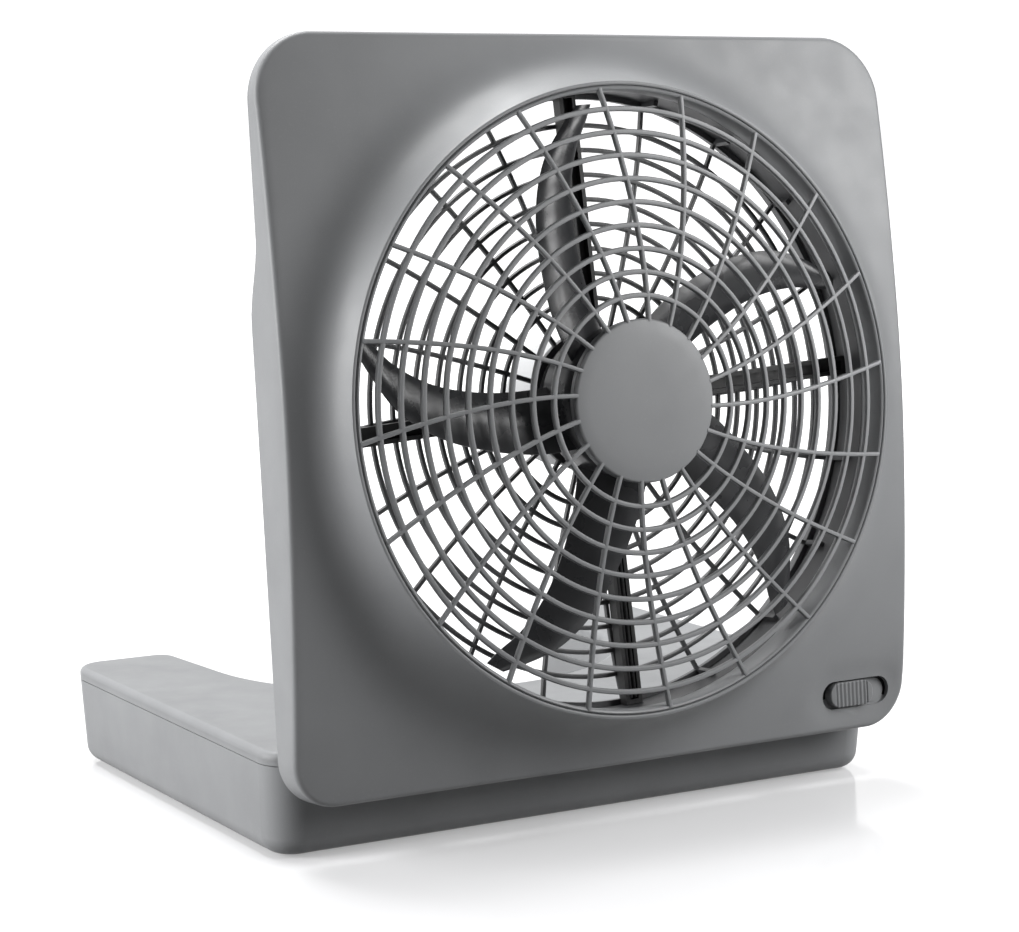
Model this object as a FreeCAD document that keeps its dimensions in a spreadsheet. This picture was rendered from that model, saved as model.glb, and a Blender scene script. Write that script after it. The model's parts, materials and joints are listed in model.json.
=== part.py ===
"""Folding battery fan: a square fan head hinged to a U-shaped battery base.

Millimetres, +Z up, the front of the fan faces -Y, the base stands on Z = 0.
Head pieces are drawn about the fan axis: x to the right, -y forward, z up the face.
"""
import FreeCAD, Part
import math
import os
import Sketcher

V = FreeCAD.Vector
doc = FreeCAD.newDocument("FoldingFan")
dims = doc.addObject("Spreadsheet::Sheet", "dims")

DIMENSIONS = {
    # head
    "head_width": 308.8, "head_height": 310.4, "head_corner": 28, "low_corner": 20,
    "head_wall": 2.4, "face_bow": 11.2, "head_tilt": 5.63, "head_front": -107.0, "head_rise": 26.4,
    "axis_rise": 155.4, "back_depth": 13.1, "top_back_depth": 4.7,
    "step_low": 43.6, "step_high": 69.6, "front_edge": 2.4, "flare_blend": 11,
    # round opening and grilles
    "rim_radius": 132.3, "rim_front": 27.5, "flare_foot": 140.9, "bore_radius": 130.7,
    "duct_wall": 2.3, "duct_split": 11.5, "fit_gap": 0.1,
    "grille_rings": 9, "spoke_count": 20, "bar_width": 2.3, "bar_depth": 3.2,
    "spoke_width": 2.0, "cap_radius": 34, "dome_front": 36, "dome_rise": 8.5,
    "rear_ring_first": 117.3, "rear_ring_pitch": 10.42, "rear_rings": 8,
    "rear_grille_front": -5.2, "rear_bar_depth": 2.6, "rear_bar_width": 2.1,
    # motor and impeller
    "motor_radius": 17.9, "motor_front": 3.0, "motor_length": 34, "shaft_radius": 1.6,
    "cover_radius": 27.3, "cover_back": -38, "strut_width": 8.0, "strut_front": 0.6,
    "strut_turn": 4, "hub_radius": 31, "hub_front": 22.5, "hub_back": 3.4,
    "tip_radius": 124.6, "blade_count": 5, "blade_turn": 94, "blade_plane": 12.5,
    # switch
    "slot_x": 127.2, "slot_z": -138.8, "slot_length": 37.2, "slot_width": 12.6,
    "knob_length": 24.0, "knob_width": 11.2, "knob_travel": 6.6, "knob_rise": 3.0,
    # hinge
    "hinge_y": -79.0, "hinge_z": 33.0, "arm_x": 88, "arm_width": 20,
    "barrel_radius": 4.4, "pin_radius": 2.0, "running_gap": 0.05,
    # base
    "base_width": 308.4, "base_front": -87.0, "base_back": 132.2, "base_corner": 14,
    "base_top": 45.6, "base_split": 39.8, "base_foot": 0.8, "base_wall": 2.4,
    "base_draft": 2.5, "recess_radius": 100.6, "recess_y": 85.2, "recess_mouth": 106,
    "cell_radius": 16.6, "cell_length": 60.6, "cell_x": 127.5, "cell_z": 20.3,
    "cell_back": 118.2,
    "door_wall": 2.0, "door_gap": 0.35, "lug_gap": 1.0, "lug_width": 3.0,
    "jack_start": 120.6, "jack_z": 20, "jack_radius": 4.2,
}


def fill_sheet():
    """One row per driving dimension: its name, then its value under that alias."""
    for row, (alias, value) in enumerate(DIMENSIONS.items(), start=1):
        dims.set("A%d" % row, alias)
        dims.set("B%d" % row, str(value))
        dims.setAlias("B%d" % row, alias)
    doc.recompute()


def value(expression):
    """The number that an expression over the sheet gives."""
    if isinstance(expression, (int, float)):
        return float(expression)
    result = dims.evalExpression(expression)
    return float(getattr(result, "Value", result))


def bind(thing, prop, expression):
    """Tie one property to the sheet, or set it where it is a plain number."""
    if isinstance(expression, str):
        thing.setExpression(prop, expression)
        return
    owner, _, rest = prop.partition(".")
    if not rest:
        setattr(thing, owner, expression)
        return
    placement = getattr(thing, owner)
    base = placement.Base
    setattr(base, rest.split(".")[-1], expression)
    placement.Base = base
    setattr(thing, owner, placement)


# ---------------------------------------------------------------- part primitives

AXIS_Y_BACK = FreeCAD.Rotation(V(1, 0, 0), -90)
AXIS_X = FreeCAD.Rotation(V(0, 1, 0), 90)


def primitive(kind, name, at, rotation=None, **sizes):
    """A Part primitive at a point given as three expressions."""
    thing = doc.addObject("Part::" + kind, name)
    if rotation is not None:
        thing.Placement = FreeCAD.Placement(V(), rotation)
    for prop, expression in sizes.items():
        bind(thing, prop, expression)
    for axis, expression in zip("xyz", at):
        bind(thing, "Placement.Base." + axis, expression)
    return thing


def box(name, at, size):
    return primitive("Box", name, at, Length=size[0], Width=size[1], Height=size[2])


def rod(name, at, radius, length, rotation=None):
    """A cylinder that starts at a point and runs along +Z, or along the turned axis."""
    return primitive("Cylinder", name, at, rotation, Radius=radius, Height=length)


def disc(name, radius, front, back, x="0", z="0"):
    """A cylinder about the fan's axis, between two distances forward of the face plane."""
    return rod(name, (x, "-(%s)" % front, z), radius, "(%s) - (%s)" % (front, back), AXIS_Y_BACK)


def fuse(name, *shapes):
    thing = doc.addObject("Part::MultiFuse", name)
    thing.Shapes = list(shapes)
    return thing


def common(name, *shapes):
    thing = doc.addObject("Part::MultiCommon", name)
    thing.Shapes = list(shapes)
    return thing


def cut(name, base, *tools):
    thing = doc.addObject("Part::Cut", name)
    thing.Base = base
    thing.Tool = tools[0] if len(tools) == 1 else fuse(name + "_tools", *tools)
    return thing


def tube(name, outer, inner, front, back, x="0", z="0"):
    """A ring about the fan's axis."""
    hole = disc(name + "_hole", inner, "(%s) + 1" % front, "(%s) - 1" % back, x, z)
    return cut(name, disc(name + "_rod", outer, front, back, x, z), hole)


def filleted(name, base, radius, wanted):
    """Round the edges that the test picks."""
    doc.recompute()
    thing = doc.addObject("Part::Fillet", name)
    thing.Base = base
    size = value(radius)
    thing.Edges = [(i, size, size) for i, edge in enumerate(base.Shape.Edges, start=1) if wanted(edge)]
    return thing


def solid_feature(name, shape):
    """A solid made with Part's own functions."""
    thing = doc.addObject("Part::Feature", name)
    thing.Shape = shape
    return thing


# ---------------------------------------------------------------- part design bodies


def new_body(name):
    return doc.addObject("PartDesign::Body", name)


def sketch_on(body, name, role, offset=None):
    """An empty sketch on one of the body's own origin planes."""
    sketch = body.newObject("Sketcher::SketchObject", name)
    sketch.AttachmentSupport = [(next(f for f in body.Origin.OriginFeatures if f.Role == role), "")]
    sketch.MapMode = "FlatFace"
    if offset is not None:
        bind(sketch, "AttachmentOffset.Base.z", offset)
    return sketch


def drive(sketch, kind, *geometry, to):
    """One constraint of a sketch, driven by the sheet."""
    index = sketch.addConstraint(Sketcher.Constraint(kind, *geometry, value(to)))
    if isinstance(to, str):
        sketch.setExpression("Constraints[%d]" % index, to)


def polygon(sketch, points):
    """A closed outline whose corners are pairs of expressions."""
    corners = [V(value(a), value(b), 0) for a, b in points]
    count = len(corners)
    for i in range(count):
        sketch.addGeometry(Part.LineSegment(corners[i], corners[(i + 1) % count]), False)
    for i in range(count):
        sketch.addConstraint(Sketcher.Constraint("Coincident", i, 2, (i + 1) % count, 1))
    for i, (a, b) in enumerate(points):
        drive(sketch, "DistanceX", -1, 1, i, 1, to=a)
        drive(sketch, "DistanceY", -1, 1, i, 1, to=b)
    return sketch


def pad(body, sketch, length, midplane=False, taper=0):
    feature = body.newObject("PartDesign::Pad", sketch.Name + "_pad")
    feature.Profile = sketch
    bind(feature, "Length", length)
    feature.SideType = "Symmetric" if midplane else "One side"
    if taper:
        bind(feature, "TaperAngle", taper)
    doc.recompute()
    return feature


def turn(body, sketch):
    """Revolve a sketch of the XY plane about the fan's axis."""
    feature = body.newObject("PartDesign::Revolution", sketch.Name + "_turned")
    feature.Profile = sketch
    feature.ReferenceAxis = (sketch, ["V_Axis"])
    feature.Angle = 360
    doc.recompute()
    return feature


def turned(name, profile):
    """A body of revolution: corners are (radius, distance forward)."""
    body = new_body(name)
    turn(body, polygon(sketch_on(body, name + "_profile", "XY_Plane"), [(r, "-(%s)" % w) for r, w in profile]))
    return body


def round_edges(body, radius, wanted, name):
    """Fillet the edges of the body's tip that the test picks."""
    doc.recompute()
    tip = body.Tip
    picked = ["Edge%d" % (i + 1) for i, edge in enumerate(tip.Shape.Edges) if wanted(edge)]
    if not picked:
        raise RuntimeError(name + ": no edge to round")
    feature = body.newObject("PartDesign::Fillet", name)
    feature.Base = (tip, picked)
    bind(feature, "Radius", radius)
    doc.recompute()
    return feature


def along(axis, slack=0.02):
    """True for open edges whose ends lie along one axis."""
    def wanted(edge):
        if len(edge.Vertexes) < 2:
            return False
        way = (edge.Vertexes[1].Point - edge.Vertexes[0].Point).normalize()
        return abs(abs(way.dot(axis)) - 1) < slack
    return wanted


def at_height(z):
    """True for edges that lie wholly at one height."""
    def wanted(edge):
        box_ = edge.BoundBox
        return abs(box_.ZMin - z) < 0.01 and abs(box_.ZMax - z) < 0.01
    return wanted


def slab(name, x, y, z, role="XY_Plane", taper=0):
    """A block on an origin plane. x and y are pairs of expressions, z is (start, length)."""
    body = new_body(name)
    sketch = sketch_on(body, name + "_outline", role, z[0])
    polygon(sketch, [(x[0], y[0]), (x[1], y[0]), (x[1], y[1]), (x[0], y[1])])
    pad(body, sketch, z[1], taper=taper)
    return body


def stadium(name, x, z, length, width, front, depth):
    """A slot-shaped block that looks forward, its round ends left and right."""
    half = "((%s) - (%s)) / 2" % (length, width)
    middle = box(name + "_middle", ("(%s) - %s" % (x, half), "-(%s)" % front, "(%s) - (%s) / 2" % (z, width)),
                 ("2 * %s" % half, depth, width))
    ends = [rod("%s_end%d" % (name, i), ("(%s) %s %s" % (x, sign, half), "-(%s)" % front, z),
                "(%s) / 2" % width, depth, AXIS_Y_BACK) for i, sign in enumerate("-+")]
    return fuse(name, middle, *ends)


# ---------------------------------------------------------------- placing and naming

NODES = []


def node(thing, label, placement=None):
    """Name one sub-part and put it in its place."""
    thing.Label = label
    if placement is not None:
        thing.Placement = placement.multiply(thing.Placement)
    NODES.append(thing)
    return thing


def head_placement():
    """From the fan's axis frame to the row frame: leaned back, at rest."""
    tilt = math.radians(value("head_tilt"))
    rise = value("axis_rise")
    centre = V(0, value("head_front") + rise * math.sin(tilt), value("head_rise") + rise * math.cos(tilt))
    return FreeCAD.Placement(centre, FreeCAD.Rotation(V(1, 0, 0), -value("head_tilt")))


fill_sheet()
HEAD = head_placement()

# ---------------------------------------------------------------- head shells

BOSSES = [(-136, 134), (136, 134), (-143, -96), (143, -96), (-45, -145.5), (45, -145.5)]
BOSS_RADIUS = 4.0
SCREW_RADIUS = 1.45
SCREW_HEAD_RADIUS = 2.9
SCREW_SINK = 1.6


def bow_at(z):
    """How far forward the bowed face stands at one height."""
    half = value("dims.head_height") / 2
    return value("dims.face_bow") * (1 - ((z + value("dims.axis_rise") - half) / half) ** 2)


def back_depth_at(z):
    """How far behind the face plane the back lies at the height of a boss."""
    return value("dims.top_back_depth") if z > 0 else value("dims.back_depth")


def bowed_block(name, inset, back):
    """The head's outline with its bowed face, all faces moved in by an inset."""
    block = slab(name + "_block",
                 ("-dims.head_width / 2 + %s" % inset, "dims.head_width / 2 - (%s)" % inset),
                 ("-dims.axis_rise + %s" % inset, "dims.head_height - dims.axis_rise - (%s)" % inset),
                 ("-(%s)" % back, "dims.face_bow + 2 + %s" % back), "XZ_Plane")
    forward = along(V(0, 1, 0))
    round_edges(block, "dims.head_corner - (%s)" % inset, lambda e: forward(e) and e.CenterOfMass.z > 0,
                name + "_high_corners")
    round_edges(block, "dims.low_corner - (%s)" % inset, lambda e: forward(e) and e.CenterOfMass.z < 0,
                name + "_low_corners")
    bow = "((dims.head_height ^ 2 / 4 + dims.face_bow ^ 2) / (2 * dims.face_bow))"
    drum = rod(name + "_bow", ("-dims.head_width", "%s - dims.face_bow" % bow,
                               "dims.head_height / 2 - dims.axis_rise"),
               "%s - (%s)" % (bow, inset), "2 * dims.head_width", AXIS_X)
    return block, drum


def back_profile(name, inset):
    """Everything in front of the stepped back: deep at the bottom, shallow at the top."""
    body = new_body(name)
    low = "dims.back_depth - (%s)" % inset
    high = "dims.top_back_depth - (%s)" % inset
    points = [("-60", "-170"), (low, "-170"), (low, "dims.step_low"), (high, "dims.step_high"),
              (high, "170"), ("-60", "170")]
    pad(body, polygon(sketch_on(body, name + "_sketch", "YZ_Plane"), points), "400", midplane=True)
    step = [value("step_low"), value("step_high")]
    round_edges(body, "30", lambda e: along(V(1, 0, 0))(e) and any(abs(e.BoundBox.ZMin - s) < 0.1 for s in step),
                name + "_blend")
    return body


def front_outline(edge):
    """The edges round the bowed face."""
    box_ = edge.BoundBox
    return box_.YMax < 2.5 and box_.YMin > -13


def flare_foot(edge):
    """The line where one half of the flare meets the bowed face."""
    ends = [edge.valueAt(p) for p in edge.ParameterRange]
    radii = [math.hypot(p.x, p.z) for p in ends]
    return all(135 < r < 141.5 for r in radii) and all(-12 < p.y < 0.5 for p in ends)


def front_panel():
    """Outer shell: side walls, bowed face, flare round the opening, screw bosses."""
    block, drum = bowed_block("panel", "0", "dims.back_depth + 1")
    outer = common("panel_solid", block, drum, back_profile("panel_back", "0"))
    cone = turned("panel_flare", [("0", "-1"), ("dims.flare_foot", "-1"), ("dims.rim_radius", "dims.rim_front"),
                                  ("0", "dims.rim_front")])
    softened = filleted("panel_softened", outer, "dims.front_edge", front_outline)
    raised = fuse("panel_raised", softened, cone)
    right_half = common("panel_right", raised, box("panel_right_side", (0, -100, -200), (200, 200, 400)))
    right = filleted("panel_right_rounded", right_half, "dims.flare_blend", flare_foot)
    left = doc.addObject("Part::Mirroring", "panel_left_rounded")
    left.Source = right
    left.Normal = V(1, 0, 0)
    rounded = fuse("panel_rounded", right, left)
    hollow_block, hollow_drum = bowed_block("panel_hollow", "dims.head_wall", "30")
    hollow = common("panel_hollow", hollow_block, hollow_drum)
    bore = disc("panel_bore", "dims.bore_radius", "40", "-40")
    groove = turned("panel_groove", [("dims.bore_radius + dims.duct_wall", "-6"),
                                     ("dims.bore_radius + dims.duct_wall", "16"),
                                     ("dims.flare_foot - 2.2", "-6")])
    slot = stadium("panel_slot", "dims.slot_x", "dims.slot_z", "dims.slot_length", "dims.slot_width", "20", "30")
    duct_room = disc("panel_duct_room", "dims.bore_radius + dims.duct_wall + 0.1", "dims.duct_split", "-30")
    shell = cut("panel_shell", rounded, hollow, bore, groove, slot, duct_room)
    skirt = tube("panel_skirt", "dims.bore_radius + dims.duct_wall", "dims.bore_radius",
                 "dims.rim_front - 3", "dims.duct_split")
    bosses = []
    for i, (x, z) in enumerate(BOSSES):
        end = value("dims.head_wall") - back_depth_at(z)
        bosses.append(disc("boss%d" % i, BOSS_RADIUS, bow_at(z) - 1.2, end, x, z))
    solid = fuse("panel_with_bosses", shell, skirt, *bosses)
    drills = [disc("boss_drill%d" % i, SCREW_RADIUS + 0.1, "-1", "-30", x, z) for i, (x, z) in enumerate(BOSSES)]
    return node(cut("front_panel", solid, *drills), "front_panel", HEAD)


def rear_housing():
    """Back plate that fits inside the side walls, with the rear half of the duct."""
    inset = "dims.head_wall + dims.fit_gap"
    block, _ = bowed_block("housing", inset, "dims.back_depth + 1")
    plate = common("housing_plate", block, back_profile("housing_back", "0"))
    thin = cut("housing_thin", plate, back_profile("housing_hollow", "dims.head_wall - 0.2"))
    outer = "dims.bore_radius + dims.duct_wall"
    ring = disc("housing_ring", outer + " + 1.6", "-2.6", "-dims.back_depth")
    duct = disc("housing_duct", outer, "dims.duct_split - dims.fit_gap", "-3")
    bore = disc("housing_bore", "dims.bore_radius", "40", "-40")
    shell = cut("housing_shell", fuse("housing_solid", thin, ring, duct), bore)
    posts = []
    for i in range(POST_COUNT):
        turn_ = POST_TURN + 360 / POST_COUNT * i
        if abs((turn_ - value("dims.strut_turn") + 45) % 90 - 45) < STRUT_ROOM:
            continue
        post = box("post%d" % i, (0, 0, 0), (3.2, 10.0, 2.2))
        offset = FreeCAD.Placement(V(value("dims.bore_radius") - 2.4, -5, -1.1), FreeCAD.Rotation())
        post.Placement = turned_about_fan(turn_).multiply(offset)
        posts.append(post)
    holes = []
    for i, (x, z) in enumerate(BOSSES):
        holes.append(disc("housing_hole%d" % i, SCREW_RADIUS + 0.15, "0", "-30", x, z))
        floor = SCREW_SINK - back_depth_at(z)
        holes.append(disc("housing_sink%d" % i, SCREW_HEAD_RADIUS + 0.2, floor, "-30", x, z))
    arm_slots = []
    for side, sign in (("left", -1), ("right", 1)):
        width = value("dims.arm_width") + 0.6
        arm_slots.append(box("housing_slot_" + side, (sign * value("dims.arm_x") - width / 2, 8, -148),
                             (width, 10, 8)))
    return node(cut("rear_housing", fuse("housing_full", shell, *posts), *holes, *arm_slots), "rear_housing", HEAD)


def turned_about_fan(degrees):
    """A turn about the fan's axis, anticlockwise as seen from the front."""
    return FreeCAD.Placement(V(), FreeCAD.Rotation(V(0, -1, 0), degrees))


# ---------------------------------------------------------------- grilles

POST_COUNT = 20
POST_TURN = 21.4
STRUT_ROOM = 4
SPOKE_HUB_TURN = -6.8
SPOKE_MIDDLE_TURN = -0.5
SPOKE_RIM_TURN = 4.3
REAR_HUB_TURN = -4.6
REAR_MIDDLE_TURN = -2.8
CAP_SEAT_BACK = 30.0
CAP_SEAT_DEPTH = 3.0
CAP_LIP_BACK = 31.6
CAP_LIP = 1.2


def polar(radius, degrees, y=0.0):
    angle = math.radians(degrees)
    return V(radius * math.cos(angle), y, radius * math.sin(angle))


def ring_band(radius, width, back, length):
    """A round bar seen from the front, extruded forward from a distance behind the face plane."""
    origin = V(0, -back, 0)
    forward = V(0, -1, 0)
    outer = Part.makeCylinder(radius + width / 2, length, origin, forward)
    inner = Part.makeCylinder(radius - width / 2, length, origin, forward)
    return outer.cut(inner)


def spoke_band(stations, width, back, length):
    """A curved spoke through three (radius, degrees) stations, extruded forward."""
    middle = [polar(r, a, -back) for r, a in stations]
    along_ = (middle[2] - middle[0]).normalize()
    side = along_.cross(V(0, 1, 0)).normalize() * (width / 2)
    one = Part.Arc(*[p + side for p in middle]).toShape()
    two = Part.Arc(*[p - side for p in middle]).toShape()
    ends = [Part.LineSegment(middle[i] + side, middle[i] - side).toShape() for i in (0, 2)]
    wire = Part.Wire(Part.__sortEdges__([one, two] + ends))
    return Part.Face(wire).extrude(V(0, -length, 0))


def dome(front, depth):
    """The solid between two spheres about one centre: the bars of the front grille lie in it."""
    rim = value("dims.rim_radius")
    rise = value("dims.dome_rise")
    radius = (rim ** 2 + rise ** 2) / (2 * rise)
    centre = V(0, radius - front, 0)
    return Part.makeSphere(radius, centre).cut(Part.makeSphere(radius - depth, centre))


def front_grille():
    """Domed guard: rings, swept spokes, a rim band and a seat for the cap."""
    hub = value("dims.cap_radius")
    rim = value("dims.bore_radius") - value("dims.fit_gap")
    count = int(value("dims.grille_rings"))
    pitch = (rim - hub) / (count + 1)
    width = value("dims.bar_width")
    rings = [ring_band(hub + pitch * (i + 1), width, 10, 40) for i in range(count)]
    stations = [(hub + 0.4, SPOKE_HUB_TURN), ((hub + rim) / 2, SPOKE_MIDDLE_TURN), (rim - 1, SPOKE_RIM_TURN)]
    spoke = spoke_band(stations, value("dims.spoke_width"), 10, 40)
    spokes = []
    for i in range(int(value("dims.spoke_count"))):
        copy = spoke.copy()
        copy.Placement = turned_about_fan(360 / value("dims.spoke_count") * i)
        spokes.append(copy)
    pattern = rings[0].multiFuse(rings[1:] + spokes)
    bars = pattern.common(dome(value("dims.dome_front"), value("dims.bar_depth")))
    band = ring_band(rim - 1.0, 2.0, 19, value("dims.rim_front") - 19)
    forward = V(0, -1, 0)
    seat = Part.makeCylinder(hub - 0.2, CAP_SEAT_DEPTH, V(0, -CAP_SEAT_BACK, 0), forward)
    shoulder = Part.makeCylinder(hub + CAP_LIP, 1.2, V(0, -CAP_LIP_BACK, 0), forward)
    lip = ring_band(hub + CAP_LIP, 1.8, CAP_LIP_BACK, 2.6)
    shape = bars.multiFuse([band, seat, shoulder, lip]).removeSplitter()
    return node(solid_feature("front_grille", shape), "front_grille", HEAD)


def centre_cap():
    """Plain round cap that snaps on the middle of the front grille."""
    radius = "dims.cap_radius"
    front = "dims.dome_front"
    body = turned("centre_cap", [("0", "33.0"), (radius, "33.0"), (radius, front + " - 1.4"),
                                 (radius + " - 0.9", front + " - 0.5"), ("0", front)])
    return node(body, "centre_cap", HEAD)


def rear_grille():
    """Flat guard behind the impeller: rings, radial spokes and an open middle for the motor cover."""
    front = value("dims.rear_grille_front")
    depth = value("dims.rear_bar_depth")
    back = front - depth
    width = value("dims.rear_bar_width")
    first = value("dims.rear_ring_first")
    pitch = value("dims.rear_ring_pitch")
    rim = value("dims.bore_radius") - value("dims.fit_gap")
    rings = [ring_band(first - pitch * i, width, back, depth) for i in range(int(value("dims.rear_rings")))]
    rings.append(ring_band(rim - 1.2, 2.4, back, depth))
    hub = value("dims.cover_radius") + 1.7
    rings.append(ring_band(hub, 3.0, back, depth))
    stations = [(hub, REAR_HUB_TURN), ((hub + rim) / 2, REAR_MIDDLE_TURN), (rim - 1, 0.0)]
    spoke = spoke_band(stations, width, back, depth)
    spokes = []
    for i in range(POST_COUNT):
        copy = spoke.copy()
        copy.Placement = turned_about_fan(POST_TURN + 360 / POST_COUNT * i)
        spokes.append(copy)
    shape = rings[0].multiFuse(rings[1:] + spokes).removeSplitter()
    return node(solid_feature("rear_grille", shape), "rear_grille", HEAD)


# ---------------------------------------------------------------- motor and impeller

STRUT_DEPTH = 5.2
COVER_RIBS = 6
LEAD_RADIUS = 0.9


def motor_bracket():
    """Cross of four channels that carries the motor in the middle of the duct."""
    front = value("dims.strut_front")
    width = value("dims.strut_width")
    reach = value("dims.bore_radius") - 0.3
    parts = []
    grooves = []
    for i in range(4):
        spin = turned_about_fan(value("dims.strut_turn") + 90 * i)
        arm = box("strut%d" % i, (0, 0, 0), (reach - 19, STRUT_DEPTH, width))
        arm.Placement = spin.multiply(FreeCAD.Placement(V(19, -front, -width / 2), FreeCAD.Rotation()))
        groove = box("strut_groove%d" % i, (0, 0, 0), (reach - 32, 3.2, width - 3.6))
        groove.Placement = spin.multiply(
            FreeCAD.Placement(V(30, -front - 0.1, -(width - 3.6) / 2), FreeCAD.Rotation()))
        parts.append(arm)
        grooves.append(groove)
    ring = disc("bracket_ring", "dims.motor_radius + 3.6", front, front - STRUT_DEPTH)
    seat = disc("bracket_seat", "dims.motor_radius + 0.1", "30", "-30")
    return node(cut("motor_bracket", fuse("bracket_solid", ring, *parts), seat, *grooves), "motor_bracket", HEAD)


def motor_can():
    """Steel can of the direct-current motor, with its raised front bearing boss."""
    front = "dims.motor_front"
    back = "dims.motor_front - dims.motor_length"
    radius = "dims.motor_radius"
    bore = "dims.shaft_radius + 1.6"
    body = turned("motor_can", [(bore, back), (radius, back), (radius, front + " - 1"), (radius + " - 1", front),
                                ("6", front), ("6", front + " + 2"), (bore, front + " + 2")])
    return node(body, "motor_can", HEAD)


def motor_end_cap():
    """Plastic brush cap with two solder tags."""
    back = "dims.motor_front - dims.motor_length"
    plate = disc("end_cap_plate", "dims.motor_radius - 0.5", back, back + " - 2.2")
    tags = [box("solder_tag%d" % i, (x - 1.2, "-(%s) + 2.2" % back, -0.3), (2.4, 2.2, 0.6))
            for i, x in enumerate((-11, 11))]
    return node(fuse("motor_end_cap", plate, *tags), "motor_end_cap", HEAD)


def motor_bush():
    """Sintered front bush: a running fit on the shaft."""
    bush = tube("motor_bush", "dims.shaft_radius + 1.6", "dims.shaft_radius + dims.running_gap",
                "dims.motor_front + 2", "dims.motor_front - 4")
    return node(bush, "motor_bush", HEAD)


def motor_shaft():
    front = "dims.hub_front + 2.6"
    back = "dims.motor_front - dims.motor_length + 2"
    shaft = turned("motor_shaft", [("0", back), ("dims.shaft_radius", back), ("dims.shaft_radius", front),
                                   ("0", front)])
    return node(shaft, "motor_shaft", HEAD)


def motor_cover():
    """Cup over the back of the motor, pushed through the middle of the rear grille."""
    radius = "dims.cover_radius"
    back = "dims.cover_back"
    mouth = "dims.rear_grille_front"
    outer = turned("cover_solid", [("0", back), (radius + " - 5", back), (radius + " - 1.4", back + " + 1.6"),
                                   (radius, back + " + 5"), (radius, mouth), ("0", mouth)])
    hollow = turned("cover_hollow", [("0", back + " + 1.8"), (radius + " - 5.8", back + " + 1.8"),
                                     (radius + " - 1.8", back + " + 5.8"), (radius + " - 1.8", mouth + " + 1"),
                                     ("0", mouth + " + 1")])
    ribs = []
    for i in range(COVER_RIBS):
        rib = box("cover_rib%d" % i, (0, 0, 0), (value("dims.cover_radius - dims.motor_radius") - 1.5, 20, 1.4))
        offset = FreeCAD.Placement(V(value("dims.motor_radius") + 0.15, 7, -0.7), FreeCAD.Rotation())
        rib.Placement = turned_about_fan(360 / COVER_RIBS * i).multiply(offset)
        ribs.append(rib)
    return node(fuse("motor_cover", cut("cover_shell", outer, hollow), *ribs), "motor_cover", HEAD)


def blade(turn_):
    """One swept, twisted blade lofted through cambered sections."""
    plane = value("dims.blade_plane")
    tip = value("dims.tip_radius")
    root = value("dims.hub_radius") - BLADE_ROOT_SINK
    wires = []
    for share, chord, pitch, sweep in BLADE_SECTIONS:
        radius = root + (tip - root) * share
        wires.append(blade_section(radius, chord, pitch, sweep, plane))
    shape = Part.makeLoft(wires, True, False)
    shape.Placement = turned_about_fan(turn_)
    return shape


# share of the way from root to tip, chord, pitch angle, sweep angle
BLADE_SECTIONS = [
    (0.0, 30.0, 28.0, 25.5), (0.18, 28.5, 22.0, 22.5), (0.40, 25.5, 18.0, 18.0),
    (0.60, 23.0, 16.0, 13.8), (0.80, 19.0, 13.0, 8.0), (0.93, 13.0, 12.0, 2.6), (1.0, 8.0, 11.0, 0.0),
]
BLADE_ROOT_SINK = 5.0
BLADE_CAMBER = 0.07
BLADE_THICKNESS = 1.9


def blade_section(radius, chord, pitch, sweep, plane):
    """A closed cambered outline, wrapped on the tangent plane at one radius."""
    rise = math.radians(pitch)
    middle = math.radians(sweep)
    outward = V(math.cos(middle), 0, math.sin(middle))
    tangent = V(-math.sin(middle), 0, math.cos(middle))
    forward = V(0, -1, 0)
    upper = []
    lower = []
    for i in range(5):
        share = i / 4
        across = (share - 0.5) * chord
        camber = BLADE_CAMBER * chord * 4 * share * (1 - share)
        half = BLADE_THICKNESS / 2 * (0.35 + 0.65 * math.sqrt(4 * share * (1 - share)))
        for side, points in ((half, upper), (-half, lower)):
            lift = camber + side
            flat = across * math.cos(rise) - lift * math.sin(rise)
            up = across * math.sin(rise) + lift * math.cos(rise)
            points.append(outward * radius + tangent * flat + forward * (plane + up))
    top = Part.BSplineCurve()
    top.interpolate(upper)
    bottom = Part.BSplineCurve()
    bottom.interpolate(lower[::-1])
    ends = [Part.LineSegment(upper[-1], lower[-1]), Part.LineSegment(lower[0], upper[0])]
    return Part.Wire([top.toShape(), ends[0].toShape(), bottom.toShape(), ends[1].toShape()])


def impeller():
    """Five swept blades on a cup-shaped hub that pushes onto the motor shaft."""
    front = "dims.hub_front"
    back = "dims.hub_back"
    radius = "dims.hub_radius"
    hub = turned("impeller_hub", [
        ("dims.shaft_radius", front), (radius + " - 3", front), (radius, front + " - 3"), (radius, back),
        (radius + " - 2", back), (radius + " - 2", front + " - 4"), ("5.5", front + " - 4"),
        ("5.5", front + " - 14"), ("dims.shaft_radius", front + " - 14")])
    count = int(value("dims.blade_count"))
    blades = [blade(value("dims.blade_turn") + 360 / count * i) for i in range(count)]
    doc.recompute()
    tip = Part.makeCylinder(value("dims.hub_radius") - 1.2, 60, V(0, 20, 0), V(0, -1, 0))
    blades = [b.cut(tip) for b in blades]
    shape = hub.Shape.multiFuse(blades)
    return node(solid_feature("impeller", shape), "impeller", HEAD)


def motor_leads():
    """Pair of wires from the motor down the lower channel to the duct wall."""
    wires = []
    turn_ = value("dims.strut_turn") - 90
    start = value("dims.motor_radius") + 13
    length = value("dims.bore_radius") - 3 - start
    for i, side in enumerate((-1, 1)):
        wire = doc.addObject("Part::Cylinder", "lead%d" % i)
        bind(wire, "Radius", LEAD_RADIUS)
        bind(wire, "Height", length)
        lay = FreeCAD.Placement(V(start, -value("dims.strut_front") + 1.2, side * 1.15), AXIS_X)
        wire.Placement = turned_about_fan(turn_).multiply(lay)
        wires.append(wire)
    return node(fuse("motor_leads", *wires), "motor_leads", HEAD)


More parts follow.
